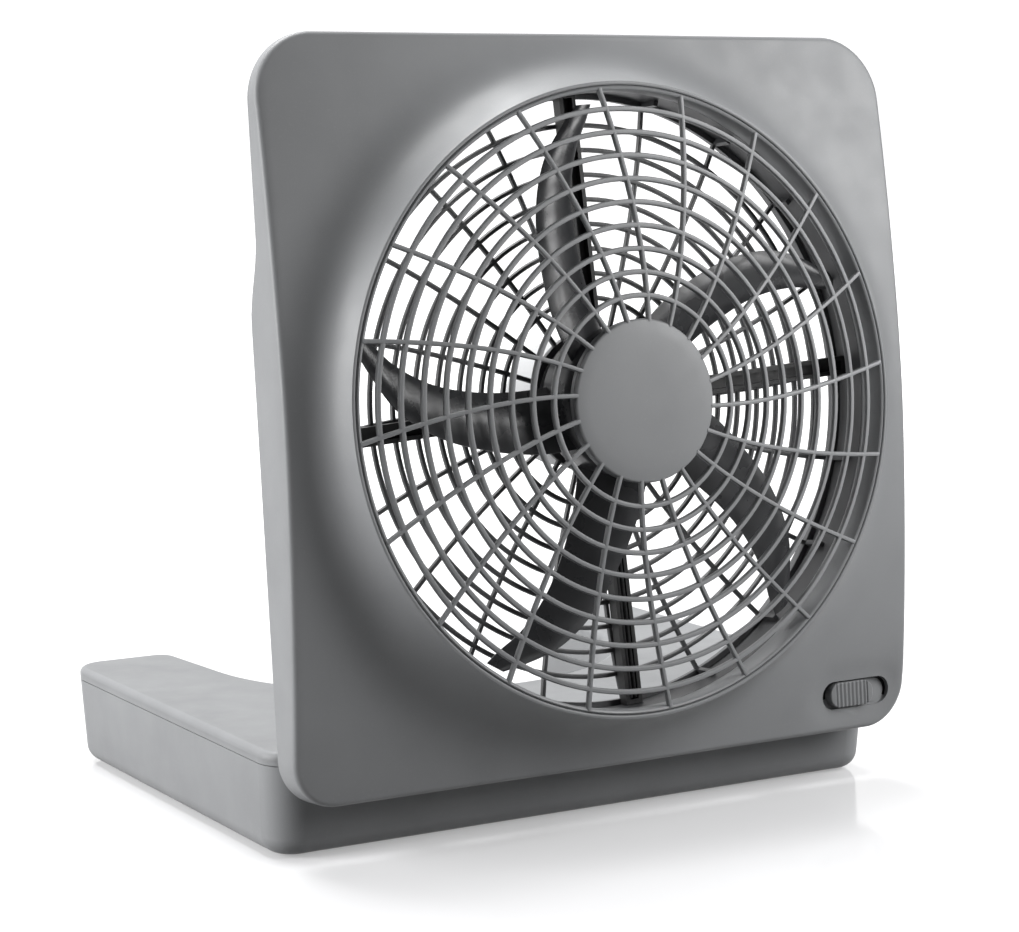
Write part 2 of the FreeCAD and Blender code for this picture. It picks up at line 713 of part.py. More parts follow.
def shaft_collar():
    """Push-on retaining collar in front of the hub."""
    collar = tube("shaft_collar", "4.6", "dims.shaft_radius", "dims.hub_front + 2.6", "dims.hub_front")
    return node(collar, "shaft_collar", HEAD)


# ---------------------------------------------------------------- switch


KNOB_GROOVES = 3
KNOB_PITCH = 5.2


def switch_knob():
    """Slider with a grooved pad in the slot and a plate behind the panel, at its off end."""
    middle = "dims.slot_x - dims.knob_travel / 2"
    left = middle + " - dims.knob_length / 2"
    face = "dims.knob_rise"
    pad_ = stadium("knob_pad", middle, "dims.slot_z", "dims.knob_length", "dims.knob_width", face,
                   face + " + 1.4")
    reach = "dims.head_width / 2 - dims.head_wall - dims.knob_travel - 0.8 - (%s)" % left
    plate = stadium("knob_plate", "(%s) + (%s) / 2 + 0.5" % (left, reach), "dims.slot_z", "(%s) - 1" % reach, 11,
                    -1.3, 1.1)
    stem = box("knob_stem", (middle + " - 2.5", 2.3, "dims.slot_z - 1.6"), (5, 4.7, 3.2))
    grooves = []
    for i in range(KNOB_GROOVES):
        x = "%s + %s" % (middle, (i - (KNOB_GROOVES - 1) / 2) * KNOB_PITCH - 0.45)
        grooves.append(box("knob_groove%d" % i, (x, "-(%s) - 1" % face, "dims.slot_z - 8"), (0.9, 1.8, 16)))
    grooved = cut("knob_grooved", pad_, *grooves)
    return node(fuse("switch_knob", grooved, plate, stem), "switch_knob", HEAD)


def switch_body():
    """Slide switch behind its mask: a slotted case that the knob's stem runs in."""
    case = box("switch_case", ("dims.slot_x - 15", 4.2, "dims.slot_z - 6"), (30, 5, 12))
    track = box("switch_track", ("dims.slot_x - 7.8", 3, "dims.slot_z - 2"), (15.6, 4.4, 4))
    return node(cut("switch_body", case, track), "switch_body", HEAD)


def switch_mask():
    """Thin black plate behind the knob that closes the slot, with a window for the stem."""
    plate = stadium("mask_plate", "dims.slot_x - 1", "dims.slot_z", "dims.slot_length + 6", "dims.slot_width + 4",
                    "-2.8", 1.2)
    window = box("mask_window", ("dims.slot_x - 8.0", 0, "dims.slot_z - 2.2"), (16.0, 6, 4.4))
    return node(cut("switch_mask", plate, window), "switch_mask", HEAD)


# ---------------------------------------------------------------- hinge


def hinge_arm(side, sign):
    """Short arm from the back of the head to a barrel on the hinge pin, drawn in the row frame."""
    body = new_body("arm_neck_" + side)
    tilt = math.radians(value("dims.head_tilt"))
    up = (math.sin(tilt), math.cos(tilt))
    ahead = (-math.cos(tilt), math.sin(tilt))

    def on_head(rise, forward):
        return (value("dims.head_front") + rise * up[0] + forward * ahead[0],
                value("dims.head_rise") + rise * up[1] + forward * ahead[1])

    y0 = value("dims.hinge_y")
    z0 = value("dims.hinge_z")
    points = [(y0 + 1.5, z0 + 0.4), on_head(8.6, -13.1), on_head(8.6, -7.6), on_head(22.5, -7.6),
              on_head(22.5, -10.4), on_head(14.2, -10.4), on_head(14.2, -13.1), (y0 - 3.4, z0 + 5.0),
              (y0 + 2.4, z0 + 3.4)]
    sketch = polygon(sketch_on(body, "arm_profile_" + side, "YZ_Plane", sign * value("dims.arm_x")), points)
    pad(body, sketch, "dims.arm_width", midplane=True)
    start = "%s * dims.arm_x - dims.arm_width / 2" % sign
    barrel = rod("arm_barrel_" + side, (start, "dims.hinge_y", "dims.hinge_z"), "dims.barrel_radius",
                 "dims.arm_width", AXIS_X)
    bore = rod("arm_bore_" + side, (start + " - 1", "dims.hinge_y", "dims.hinge_z"),
               "dims.pin_radius + dims.running_gap", "dims.arm_width + 2", AXIS_X)
    return node(cut("hinge_arm_" + side, fuse("arm_solid_" + side, body, barrel), bore), "hinge_arm_" + side)


def hinge_pin(side, sign):
    """Steel pin through two lugs of the base and the arm's barrel."""
    length = "dims.arm_width + 2 * (dims.lug_gap + dims.lug_width)"
    start = "%s * dims.arm_x - (%s) / 2" % (sign, length)
    pin = rod("hinge_pin_" + side, (start, "dims.hinge_y", "dims.hinge_z"), "dims.pin_radius", length, AXIS_X)
    return node(pin, "hinge_pin_" + side)


def friction_washers():
    """Wave washers that clamp each barrel between its lugs and hold the head where it is set."""
    washers = []
    for side, sign in (("left", -1), ("right", 1)):
        for end, way in (("in", -1), ("out", 1)):
            x = "%s * dims.arm_x + %s * (dims.arm_width + dims.lug_gap) / 2 - 0.4" % (sign, way)
            at = (x, "dims.hinge_y", "dims.hinge_z")
            outer = rod("washer_%s_%s" % (side, end), at, "dims.barrel_radius - 0.4", 0.8, AXIS_X)
            hole = rod("washer_hole_%s_%s" % (side, end), at, "dims.pin_radius + 0.05", 0.8, AXIS_X)
            washers.append(cut("friction_washer_%s_%s" % (side, end), outer, hole))
    return node(fuse("friction_washers", *washers), "friction_washers")


# ---------------------------------------------------------------- base


def base_outline(name, inset, low, high):
    """Rounded tapered block, cut by the U-shaped recess, all walls moved in by an inset."""
    block = slab(name + "_block",
                 ("-dims.base_width / 2 + dims.base_draft + %s" % inset,
                  "dims.base_width / 2 - dims.base_draft - (%s)" % inset),
                 ("dims.base_front + dims.base_draft + %s" % inset, "dims.base_back - dims.base_draft - (%s)" % inset),
                 (low, "(%s) - (%s)" % (high, low)),
                 taper="atan(dims.base_draft / (dims.base_top - dims.base_foot))")
    round_edges(block, "dims.base_corner - (%s)" % inset, along(V(0, 0, 1)), name + "_corners")
    radius = "dims.recess_radius + %s" % inset
    round_end = rod(name + "_recess", ("0", "dims.recess_y", "-10"), radius, "70")
    mouth = new_body(name + "_mouth")
    points = [("-(%s)" % radius, "dims.recess_y - 4"), (radius, "dims.recess_y - 4"),
              ("dims.recess_mouth + %s" % inset, "dims.base_back + 20"),
              ("-(dims.recess_mouth + %s)" % inset, "dims.base_back + 20")]
    pad(mouth, polygon(sketch_on(mouth, name + "_mouth_sketch", "XY_Plane", "-10"), points), "70")
    return block, round_end, mouth


def arm_tip(edge):
    """The upright edge between the recess and the rear end of either arm."""
    box_ = edge.BoundBox
    return along(V(0, 0, 1), 0.05)(edge) and box_.YMin > 120 and abs(edge.CenterOfMass.x) < 115


def in_recess(edge):
    """True for the edges of the U-shaped recess."""
    middle = edge.CenterOfMass
    return abs(middle.x) < 112 and middle.y > value("dims.base_front") + 20 and edge.BoundBox.YMin < 118


def arm_notches(name, gap):
    """Openings in the front top edge of the base that the hinge arms swing through."""
    notches = []
    for side, sign in (("left", -1), ("right", 1)):
        width = "dims.arm_width + 2 * (%s)" % gap
        notches.append(box("%s_%s" % (name, side),
                           ("%s * dims.arm_x - (%s) / 2" % (sign, width), "dims.base_front - 5", "dims.hinge_z - 0.4"),
                           (width, "5 + dims.hinge_y - dims.base_front + 11", "40")))
    return notches


def base_top_shell():
    """Lid of the base: flat top, rounded rim and a short skirt."""
    block, round_end, mouth = base_outline("lid", "0", "dims.base_foot", "dims.base_top")
    solid = filleted("lid_tips", cut("lid_solid", block, round_end, mouth), ARM_TIP_EDGE, arm_tip)
    rounded = filleted("lid_rounded", solid, LID_EDGE, at_height(value("dims.base_top")))
    below = box("lid_below", ("-200", "-200", "-10"), (400, 500, "10 + dims.base_split + 0.15"))
    inner = base_outline("lid_inner", "dims.base_wall", "dims.base_foot", "dims.base_top - dims.base_wall")
    hollow = cut("lid_hollow", inner[0], inner[1], inner[2])
    return node(cut("base_top_shell", rounded, below, hollow, *arm_notches("lid_notch", 0.6)), "base_top_shell")


LID_EDGE = 3.0
TRAY_EDGE = 8.0
ARM_TIP_EDGE = 9.0
DOOR_WIDTH = 32.0
DOOR_LENGTH = 172.0
DOOR_BACK = 109.0


def door_place(sign, grow):
    """Corner and size of one battery door in plan, grown by a gap."""
    x = sign * value("dims.cell_x") - DOOR_WIDTH / 2 - grow
    y = DOOR_BACK - DOOR_LENGTH - grow
    return x, y, DOOR_WIDTH + 2 * grow, DOOR_LENGTH + 2 * grow


def base_bottom_tray():
    """Deep tray of the base: outer walls, floor with two door openings, hinge lugs, cell bay walls."""
    block, round_end, mouth = base_outline("tray", "0", "dims.base_foot", "dims.base_top")
    solid = filleted("tray_tips", cut("tray_solid", block, round_end, mouth), ARM_TIP_EDGE, arm_tip)
    foot = at_height(value("dims.base_foot"))
    rounded = filleted("tray_rounded", solid, TRAY_EDGE, lambda e: foot(e) and not in_recess(e))
    above = box("tray_above", ("-200", "-200", "dims.base_split - 0.15"), (400, 500, 60))
    floor = "dims.base_foot + dims.door_wall"
    inner = base_outline("tray_inner", "dims.base_wall", floor, "dims.base_top + 1")
    hollow = cut("tray_hollow", inner[0], inner[1], inner[2])
    openings = []
    for side, sign in (("left", -1), ("right", 1)):
        x, y, width, length = door_place(sign, value("dims.door_gap"))
        openings.append(box("door_opening_" + side, (x, y, -5), (width, length, 15)))
    reliefs = []
    for side, sign in (("left", -1), ("right", 1)):
        reliefs.append(rod("barrel_room_" + side, ("%s * dims.arm_x - dims.arm_width / 2 - dims.lug_gap" % sign,
                                                   "dims.hinge_y", "dims.hinge_z"),
                           "dims.barrel_radius + 0.5", "dims.arm_width + 2 * dims.lug_gap", AXIS_X))
    shell = cut("tray_shell", rounded, above, hollow, *openings, *arm_notches("tray_notch", 0.6), *reliefs)
    lugs = []
    for side, sign in (("left", -1), ("right", 1)):
        for end, way in (("in", -1), ("out", 1)):
            x = "%s * dims.arm_x + %s * (dims.arm_width / 2 + dims.lug_gap + dims.lug_width / 2) - dims.lug_width / 2"
            lugs.append(box("lug_%s_%s" % (side, end),
                            (x % (sign, way), "dims.hinge_y - 5.3", 9),
                            ("dims.lug_width", 11, "dims.hinge_z + 5 - 9")))
    walls = []
    for side, sign in (("left", -1), ("right", 1)):
        front = value("dims.cell_back") - 3 * value("dims.cell_length") - 2.6
        walls.append(box("bay_wall_" + side,
                         (sign * (value("dims.cell_x") - 18) - 0.8, front, 2.5), (1.6, 70, 28)))
        walls.append(box("bay_end_" + side,
                         (sign * value("dims.cell_x") - 17.2, front, 2.5), (34.4, 1.6, 28)))
    body = fuse("tray_full", shell, *lugs, *walls)
    holes = [rod("lug_hole_" + side, ("%s * dims.arm_x - 40" % sign, "dims.hinge_y", "dims.hinge_z"),
                 "dims.pin_radius + 0.02", "80", AXIS_X) for side, sign in (("left", -1), ("right", 1))]
    jack = jack_hole("tray_jack_hole", 0.1)
    return node(cut("base_bottom_tray", body, *holes, jack), "base_bottom_tray")


def battery_door(side, sign):
    """Snap-in cover under three cells, with four finger ridges."""
    x, y, width, length = door_place(sign, 0)
    plate = box("door_plate_" + side, (x, y, "dims.base_foot"), (width, length, "dims.door_wall - 0.1"))
    ridges = [box("door_ridge_%s%d" % (side, i), (x + 6, y + length - 10 - 5 * i, "dims.base_foot - 0.6"),
                  (width - 12, 1.6, 1.2)) for i in range(4)]
    return node(fuse("battery_door_" + side, plate, *ridges), "battery_door_" + side)


def cell_stack(side, sign):
    """Three large cylindrical cells end to end, each with its cap."""
    solids = []
    length = value("dims.cell_length")
    start = value("dims.cell_back") - 3 * length
    for i in range(3):
        y = start + i * length
        at = (sign * value("dims.cell_x"), y, "dims.cell_z")
        can = rod("cell_%s%d" % (side, i), at, "dims.cell_radius", length - 1.8, AXIS_Y_BACK)
        cap = rod("cell_cap_%s%d" % (side, i), (at[0], y + length - 1.8, at[2]), 5.0, 1.7, AXIS_Y_BACK)
        solids += [can, cap]
    return node(fuse("battery_cells_" + side, *solids), "battery_cells_" + side)


def cell_contacts():
    """Plated contact plates at both ends of each stack."""
    plates = []
    for side, sign in (("left", -1), ("right", 1)):
        x = sign * value("dims.cell_x") - 9
        back = value("dims.cell_back")
        front = back - 3 * value("dims.cell_length")
        plates.append(box("contact_back_" + side, (x, back + 0.1, "dims.cell_z - 9"), (18, 0.6, 18)))
        plates.append(box("contact_front_" + side, (x, front - 0.8, "dims.cell_z - 9"), (18, 0.6, 18)))
    return node(fuse("cell_contacts", *plates), "cell_contacts")


def jack_hole(name, gap):
    """Round opening for the power inlet in the rear end of the right arm."""
    return rod(name, ("dims.cell_x", "dims.jack_start + 1", "dims.jack_z"), "dims.jack_radius + %s" % gap, "30",
               AXIS_Y_BACK)


def power_inlet():
    """Barrel inlet for a mains adapter, in the rear end of the right arm."""
    body = rod("inlet_body", ("dims.cell_x", "dims.jack_start", "dims.jack_z"), "dims.jack_radius", "10.4",
               AXIS_Y_BACK)
    mouth = rod("inlet_mouth", ("dims.cell_x", "dims.jack_start + 1.5", "dims.jack_z"), "2.75", "20", AXIS_Y_BACK)
    pin = rod("inlet_pin", ("dims.cell_x", "dims.jack_start + 1", "dims.jack_z"), "1.0", "8.4", AXIS_Y_BACK)
    return node(fuse("power_inlet", cut("inlet_shell", body, mouth), pin), "power_inlet")


FEET = [(-96, -62), (96, -62), (-40, -40), (40, -40), (-127.5, 115.6), (127.5, 115.6)]
FOOT_RADIUS = 4.4


def rubber_feet():
    """Soft pads under the base."""
    pads = [rod("foot%d" % i, (x, y, 0), FOOT_RADIUS, "dims.base_foot") for i, (x, y) in enumerate(FEET)]
    return node(fuse("rubber_feet", *pads), "rubber_feet")


# ---------------------------------------------------------------- fasteners


def head_screws():
    """Six screws from behind the head into the bosses of the front panel."""
    screws = []
    for i, (x, z) in enumerate(BOSSES):
        sunk = SCREW_SINK - back_depth_at(z)
        head = disc("head_screw_top%d" % i, SCREW_HEAD_RADIUS, sunk, sunk - 1.4, x, z)
        shank = disc("head_screw%d" % i, SCREW_RADIUS, -2, sunk, x, z)
        screws += [head, shank]
    return node(fuse("head_screws", *screws), "head_screws", HEAD)


def check_objects():
    """Stop if any object of the document failed."""
    doc.recompute()
    bad = [o.Name for o in doc.Objects if "Invalid" in o.State or "Error" in o.State]
    if bad:
        raise RuntimeError("failed objects: " + ", ".join(bad))


def export_nodes():
    """Check every sub-part's shape and write it as STEP."""
    os.makedirs("parts", exist_ok=True)
    for thing in NODES:
        shape = thing.Shape
        if shape.isNull() or not shape.isValid():
            raise RuntimeError(thing.Label + ": bad shape")
        box_ = shape.BoundBox
        print("%-22s %8.1f mm3  x %.1f..%.1f  y %.1f..%.1f  z %.1f..%.1f  solids %d" % (
            thing.Label, shape.Volume, box_.XMin, box_.XMax, box_.YMin, box_.YMax, box_.ZMin, box_.ZMax,
            len(shape.Solids)))
        shape.exportStep("parts/%s.step" % thing.Label)


SIDES = (("left", -1), ("right", 1))

front_panel()
rear_housing()
front_grille()
centre_cap()
rear_grille()
motor_bracket()
motor_can()
motor_end_cap()
motor_bush()
motor_shaft()
motor_cover()
motor_leads()
impeller()
shaft_collar()
switch_knob()
switch_body()
switch_mask()
head_screws()
friction_washers()
base_top_shell()
base_bottom_tray()
cell_contacts()
power_inlet()
rubber_feet()
for side_name, side_sign in SIDES:
    hinge_arm(side_name, side_sign)
    hinge_pin(side_name, side_sign)
    battery_door(side_name, side_sign)
    cell_stack(side_name, side_sign)
check_objects()
export_nodes()
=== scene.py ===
"""Looks of the folding battery fan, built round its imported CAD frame.

Lengths in the builders below are millimetres about the fan's own axis: x to the right, z up the face and
w forward of the plane through the face's upper and lower edges. head_point() turns them into metres in
the row frame. The sections are: frame, mesh helpers, materials, pieces, stage, camera and light.
"""
import json
import math

import bmesh
import bpy
from mathutils import Matrix, Vector


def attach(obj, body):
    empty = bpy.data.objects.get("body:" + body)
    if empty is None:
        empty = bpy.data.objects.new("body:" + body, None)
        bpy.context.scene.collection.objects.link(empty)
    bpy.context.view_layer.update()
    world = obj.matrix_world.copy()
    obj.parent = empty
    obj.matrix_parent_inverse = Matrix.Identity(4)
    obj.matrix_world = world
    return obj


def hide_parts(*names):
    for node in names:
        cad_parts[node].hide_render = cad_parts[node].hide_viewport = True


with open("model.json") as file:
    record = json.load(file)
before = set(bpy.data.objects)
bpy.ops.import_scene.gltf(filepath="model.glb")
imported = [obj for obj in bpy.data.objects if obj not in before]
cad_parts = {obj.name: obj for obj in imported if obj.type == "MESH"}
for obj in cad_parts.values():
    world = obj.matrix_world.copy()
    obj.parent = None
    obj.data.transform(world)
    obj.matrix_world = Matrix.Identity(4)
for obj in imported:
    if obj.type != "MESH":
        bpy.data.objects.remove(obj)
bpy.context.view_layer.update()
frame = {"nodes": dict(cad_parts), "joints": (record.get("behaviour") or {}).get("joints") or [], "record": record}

MM = 0.001
JOINTS = {joint["name"]: joint for joint in frame["joints"]}
SPIN = JOINTS["rotor_spin"]
FAN_CENTRE = Vector(SPIN["pos_m"])
FAN_AXIS = Vector(SPIN["axis"]).normalized()
TILT = math.asin(FAN_AXIS.z)
HEAD = Matrix.Translation(FAN_CENTRE) @ Matrix.Rotation(-TILT, 4, "X")

# ---------------------------------------------------------------- sizes of the head, in mm

HEAD_HALF_WIDTH = 154.4
HEAD_LOW = -155.4
HEAD_HIGH = 155.0
HEAD_CORNER = 28.0
LOW_CORNER = 20.0
FACE_BOW = 11.2
WALL = 2.4
DUCT_WALL = 2.3
RIM_RADIUS = 132.3
RIM_FRONT = 27.5
BORE_RADIUS = 130.7
FLARE_REACH = 6.6
EDGE_RADIUS = 2.4
BACK_DEEP = 13.1
BACK_SHALLOW = 4.7
STEP_LOW = 43.6
STEP_HIGH = 69.6
SPLIT_FRONT = 11.5
SLOT_X = 127.2
SLOT_Z = -138.8
SLOT_LENGTH = 37.2
SLOT_WIDTH = 12.6
SLOT_CUT = (-1.6, 12.0)
DISH_DEPTH = 1.3
DISH_REACH = 11.0


def head_point(x, z, w):
    """A point of the head in the row frame, in metres."""
    return HEAD @ Vector((x * MM, -w * MM, z * MM))


# ---------------------------------------------------------------- mesh helpers


def add_mesh(name, build, slot, body, node, smooth_angle=40):
    """One finished piece: smooth shaded up to an angle, in its slot's material, riding on its body."""
    mesh = bpy.data.meshes.new(name)
    mesh.from_pydata([tuple(v) for v in build.verts], [], build.faces)
    mesh.validate()
    mesh.update()
    piece = bpy.data.objects.new(name, mesh)
    bpy.context.scene.collection.objects.link(piece)
    tidy = bmesh.new()
    tidy.from_mesh(mesh)
    bmesh.ops.recalc_face_normals(tidy, faces=tidy.faces)
    tidy.to_mesh(mesh)
    tidy.free()
    mesh.materials.append(MATERIALS[slot])
    shade_smooth(mesh, smooth_angle)
    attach(piece, body)
    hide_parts(node)
    return piece


def shade_smooth(mesh, angle):
    """Smooth shading, with edges sharper than the angle kept crisp."""
    for polygon in mesh.polygons:
        polygon.use_smooth = True
    limit = math.radians(angle)
    edit = bmesh.new()
    edit.from_mesh(mesh)
    for edge in edit.edges:
        edge.smooth = len(edge.link_faces) == 2 and edge.calc_face_angle(0.0) < limit
    edit.to_mesh(mesh)
    edit.free()


BAR_SIDES = 10


class Builder:
    """Collects the vertices and faces of one mesh."""

    def __init__(self):
        self.verts = []
        self.faces = []

    def grid(self, rows, close_rows=False, close_columns=False):
        """Quads over a list of equally long rows of points."""
        base = len(self.verts)
        count = len(rows[0])
        for row in rows:
            self.verts.extend(row)
        last_row = len(rows) if close_rows else len(rows) - 1
        last_column = count if close_columns else count - 1
        for i in range(last_row):
            for j in range(last_column):
                a = base + i * count + j
                b = base + i * count + (j + 1) % count
                c = base + ((i + 1) % len(rows)) * count + (j + 1) % count
                d = base + ((i + 1) % len(rows)) * count + j
                self.faces.append((a, b, c, d))

    def fan(self, row, centre):
        """Triangles from a closed row of points to one middle point."""
        base = len(self.verts)
        self.verts.extend(row)
        self.verts.append(centre)
        for i in range(len(row)):
            self.faces.append((base + i, base + (i + 1) % len(row), base + len(row)))

    def sweep(self, points, ups, width, depth, closed=False):
        """A bar of rounded section along points; ups are the directions of its depth."""
        rows = []
        count = len(points)
        for i, point in enumerate(points):
            before = points[i - 1] if closed or i > 0 else point
            after = points[(i + 1) % count] if closed or i < count - 1 else point
            way = (after - before).normalized()
            side = way.cross(ups[i]).normalized()
            lift = side.cross(way).normalized()
            row = []
            for k in range(BAR_SIDES):
                angle = 2 * math.pi * (k + 0.5) / BAR_SIDES
                across = rounded_cosine(math.cos(angle)) * width / 2 * MM
                along = rounded_cosine(math.sin(angle)) * depth / 2 * MM
                row.append(point + side * across + lift * along)
            rows.append(row)
        self.grid(rows, close_rows=closed, close_columns=True)
        if not closed:
            self.fan(rows[0][::-1], points[0])
            self.fan(rows[-1], points[-1])

    def lathe(self, profile, steps, centre=None):
        """Revolve (radius, w) points about the fan's axis; a closed profile unless it meets the axis."""
        rows = []
        for i in range(steps):
            angle = 2 * math.pi * i / steps
            rows.append([head_point(r * math.cos(angle), r * math.sin(angle), w) for r, w in profile])
        self.grid(rows, close_rows=True, close_columns=centre is None)


def rounded_cosine(value):
    """Squares off a circle a little, so that a bar's section is a soft rectangle."""
    return math.copysign(abs(value) ** 0.72, value)


def arc_points(cx, cy, radius, start, end, steps):
    """Points of an arc, angles in degrees."""
    points = []
    for i in range(steps + 1):
        angle = math.radians(start + (end - start) * i / steps)
        points.append((cx + radius * math.cos(angle), cy + radius * math.sin(angle)))
    return points


def smoothstep(low, high, value):
    share = min(1.0, max(0.0, (value - low) / (high - low)))
    return share * share * (3 - 2 * share)


# ---------------------------------------------------------------- materials


def new_material(name):
    material = bpy.data.materials.new(name)
    material.use_nodes = True
    tree = material.node_tree
    shader = tree.nodes["Principled BSDF"]
    return material, tree, shader


def noise(tree, scale, detail=2.0, roughness=0.5):
    """Noise over the piece's own coordinates; scale is in cycles per metre."""
    where = tree.nodes.new("ShaderNodeTexCoord")
    texture = tree.nodes.new("ShaderNodeTexNoise")
    texture.inputs["Scale"].default_value = scale
    texture.inputs["Detail"].default_value = detail
    texture.inputs["Roughness"].default_value = roughness
    tree.links.new(where.outputs["Object"], texture.inputs["Vector"])
    return texture.outputs["Fac"]


def mapped(tree, source, low, high, out_low, out_high):
    """Map a value from one range to another."""
    mapper = tree.nodes.new("ShaderNodeMapRange")
    mapper.inputs["From Min"].default_value = low
    mapper.inputs["From Max"].default_value = high
    mapper.inputs["To Min"].default_value = out_low
    mapper.inputs["To Max"].default_value = out_high
    tree.links.new(source, mapper.inputs["Value"])
    return mapper.outputs["Result"]


def mixed(tree, factor, first, second):
    """Mix two colours; each is a constant or an output."""
    mixer = tree.nodes.new("ShaderNodeMix")
    mixer.data_type = "RGBA"
    tree.links.new(factor, mixer.inputs["Factor"])
    for socket, colour in ((mixer.inputs[6], first), (mixer.inputs[7], second)):
        if isinstance(colour, tuple):
            socket.default_value = (*colour, 1.0)
        else:
            tree.links.new(colour, socket)
    return mixer.outputs[2]


def scaled(colour, factor):
    return tuple(channel * factor for channel in colour)


def bumped(tree, shader, layers):
    """Stack bumps: each layer is (height output, strength, distance in metres)."""
    normal = None
    for height, strength, distance in layers:
        bump = tree.nodes.new("ShaderNodeBump")
        bump.inputs["Strength"].default_value = strength
        bump.inputs["Distance"].default_value = distance
        tree.links.new(height, bump.inputs["Height"])
        if normal is not None:
            tree.links.new(normal, bump.inputs["Normal"])
        normal = bump.outputs["Normal"]
    tree.links.new(normal, shader.inputs["Normal"])


GRAIN_DEPTH = 0.00006
GRAIN_SCALE = 2600.0
FLOW_SCALE = 14.0
FLOW_DEPTH = 0.0004
PATCH_SCALE = 22.0
SPECK_SCALE = 900.0
DULL_SCALE = 60.0
MOTTLE = 0.05
EDGE_WEAR = 0.18
EDGE_PALER = 1.9


def moulded_plastic(name, colour, roughness, grain_depth=GRAIN_DEPTH):
    """Satin moulded plastic: fine grain, slow flow marks, dull patches and paler worn edges."""
    material, tree, shader = new_material(name)
    patches = noise(tree, PATCH_SCALE, 4.0)
    fine = noise(tree, SPECK_SCALE, 2.0)
    base = mixed(tree, mapped(tree, patches, 0.35, 0.65, 0.0, 1.0), scaled(colour, 1 - MOTTLE),
                 scaled(colour, 1 + MOTTLE))
    specks = mapped(tree, fine, 0.58, 0.75, 0.0, 0.35)
    base = mixed(tree, specks, base, scaled(colour, 1 + 2.2 * MOTTLE))
    geometry = tree.nodes.new("ShaderNodeNewGeometry")
    edge = mapped(tree, geometry.outputs["Pointiness"], 0.53, 0.62, 0.0, EDGE_WEAR)
    base = mixed(tree, edge, base, scaled(colour, EDGE_PALER))
    tree.links.new(base, shader.inputs["Base Color"])
    dull = mapped(tree, noise(tree, DULL_SCALE, 5.0), 0.3, 0.7, roughness - 0.05, roughness + 0.07)
    tree.links.new(dull, shader.inputs["Roughness"])
    flow = (noise(tree, FLOW_SCALE, 3.0), 0.12, FLOW_DEPTH)
    grain = (noise(tree, GRAIN_SCALE, 2.0), 0.55, grain_depth)
    bumped(tree, shader, [flow, grain])
    return material


SCRATCH_SCALE = 1800.0


def worn_metal(name, colour, roughness):
    """Plated or turned metal with fine scratches and dull patches."""
    material, tree, shader = new_material(name)
    shader.inputs["Metallic"].default_value = 1.0
    tint = mixed(tree, noise(tree, 90.0, 4.0), scaled(colour, 0.86), scaled(colour, 1.08))
    tree.links.new(tint, shader.inputs["Base Color"])
    rough = mapped(tree, noise(tree, 300.0, 5.0), 0.3, 0.7, roughness - 0.08, roughness + 0.12)
    tree.links.new(rough, shader.inputs["Roughness"])
    bumped(tree, shader, [(noise(tree, SCRATCH_SCALE, 4.0, 0.7), 0.35, 0.00004)])
    return material


def soft_rubber(name, colour):
    material, tree, shader = new_material(name)
    tint = mixed(tree, noise(tree, 160.0, 4.0), scaled(colour, 0.8), scaled(colour, 1.5))
    tree.links.new(tint, shader.inputs["Base Color"])
    tree.links.new(mapped(tree, noise(tree, 400.0, 3.0), 0.3, 0.7, 0.7, 0.9), shader.inputs["Roughness"])
    bumped(tree, shader, [(noise(tree, 3000.0, 2.0), 0.6, 0.00008)])
    return material


PANEL_GREY = (0.235, 0.24, 0.247)
MATERIALS = {
    "panel_grey": moulded_plastic("panel_grey", PANEL_GREY, 0.46),
    "grille_grey": moulded_plastic("grille_grey", scaled(PANEL_GREY, 1.0), 0.44),
    "base_grey": moulded_plastic("base_grey", scaled(PANEL_GREY, 0.96), 0.5),
    "knob_grey": moulded_plastic("knob_grey", scaled(PANEL_GREY, 0.9), 0.42),
    "housing_grey": moulded_plastic("housing_grey", (0.055, 0.056, 0.059), 0.45),
    "dark_grey": moulded_plastic("dark_grey", (0.07, 0.071, 0.074), 0.42),
    "blade_grey": moulded_plastic("blade_grey", (0.046, 0.047, 0.05), 0.28, grain_depth=0.00003),
    "black_plastic": moulded_plastic("black_plastic", (0.009, 0.009, 0.0095), 0.5),
    "cover_grey": moulded_plastic("cover_grey", (0.4, 0.405, 0.41), 0.48),
    "can_steel": worn_metal("can_steel", (0.55, 0.56, 0.57), 0.35),
    "bright_steel": worn_metal("bright_steel", (0.62, 0.62, 0.63), 0.28),
    "bronze": worn_metal("bronze", (0.5, 0.33, 0.16), 0.45),
    "brass": worn_metal("brass", (0.72, 0.55, 0.26), 0.3),
    "foot_rubber": soft_rubber("foot_rubber", (0.02, 0.02, 0.021)),
    "cell_jacket": moulded_plastic("cell_jacket", (0.05, 0.065, 0.1), 0.35),
    "lead_black": soft_rubber("lead_black", (0.012, 0.012, 0.013)),
}


def dress_nodes():
    """Give every shown CAD node the material of its slot."""
    slots = {part["node"]: part["material_slot"] for part in frame["record"]["subparts"]}
    for name, node in frame["nodes"].items():
        material = MATERIALS[slots[name]]
        for entry in node.material_slots:
            entry.material = material


BEVEL_SEGMENTS = 2
BEVEL_ANGLE = 38


def soften_node(name, width):
    """Round the sharp edges of a CAD node a little, in a modifier."""
    node = frame["nodes"][name]
    bevel = node.modifiers.new("soft_edges", "BEVEL")
    bevel.width = width * MM
    bevel.segments = BEVEL_SEGMENTS
    bevel.limit_method = "ANGLE"
    bevel.angle_limit = math.radians(BEVEL_ANGLE)
    bevel.harden_normals = False


# ---------------------------------------------------------------- front panel


def bow(z):
    """Forward stand of the bowed face at one height."""
    half = (HEAD_HIGH - HEAD_LOW) / 2
    return FACE_BOW * (1 - ((z - (HEAD_HIGH + HEAD_LOW) / 2) / half) ** 2)


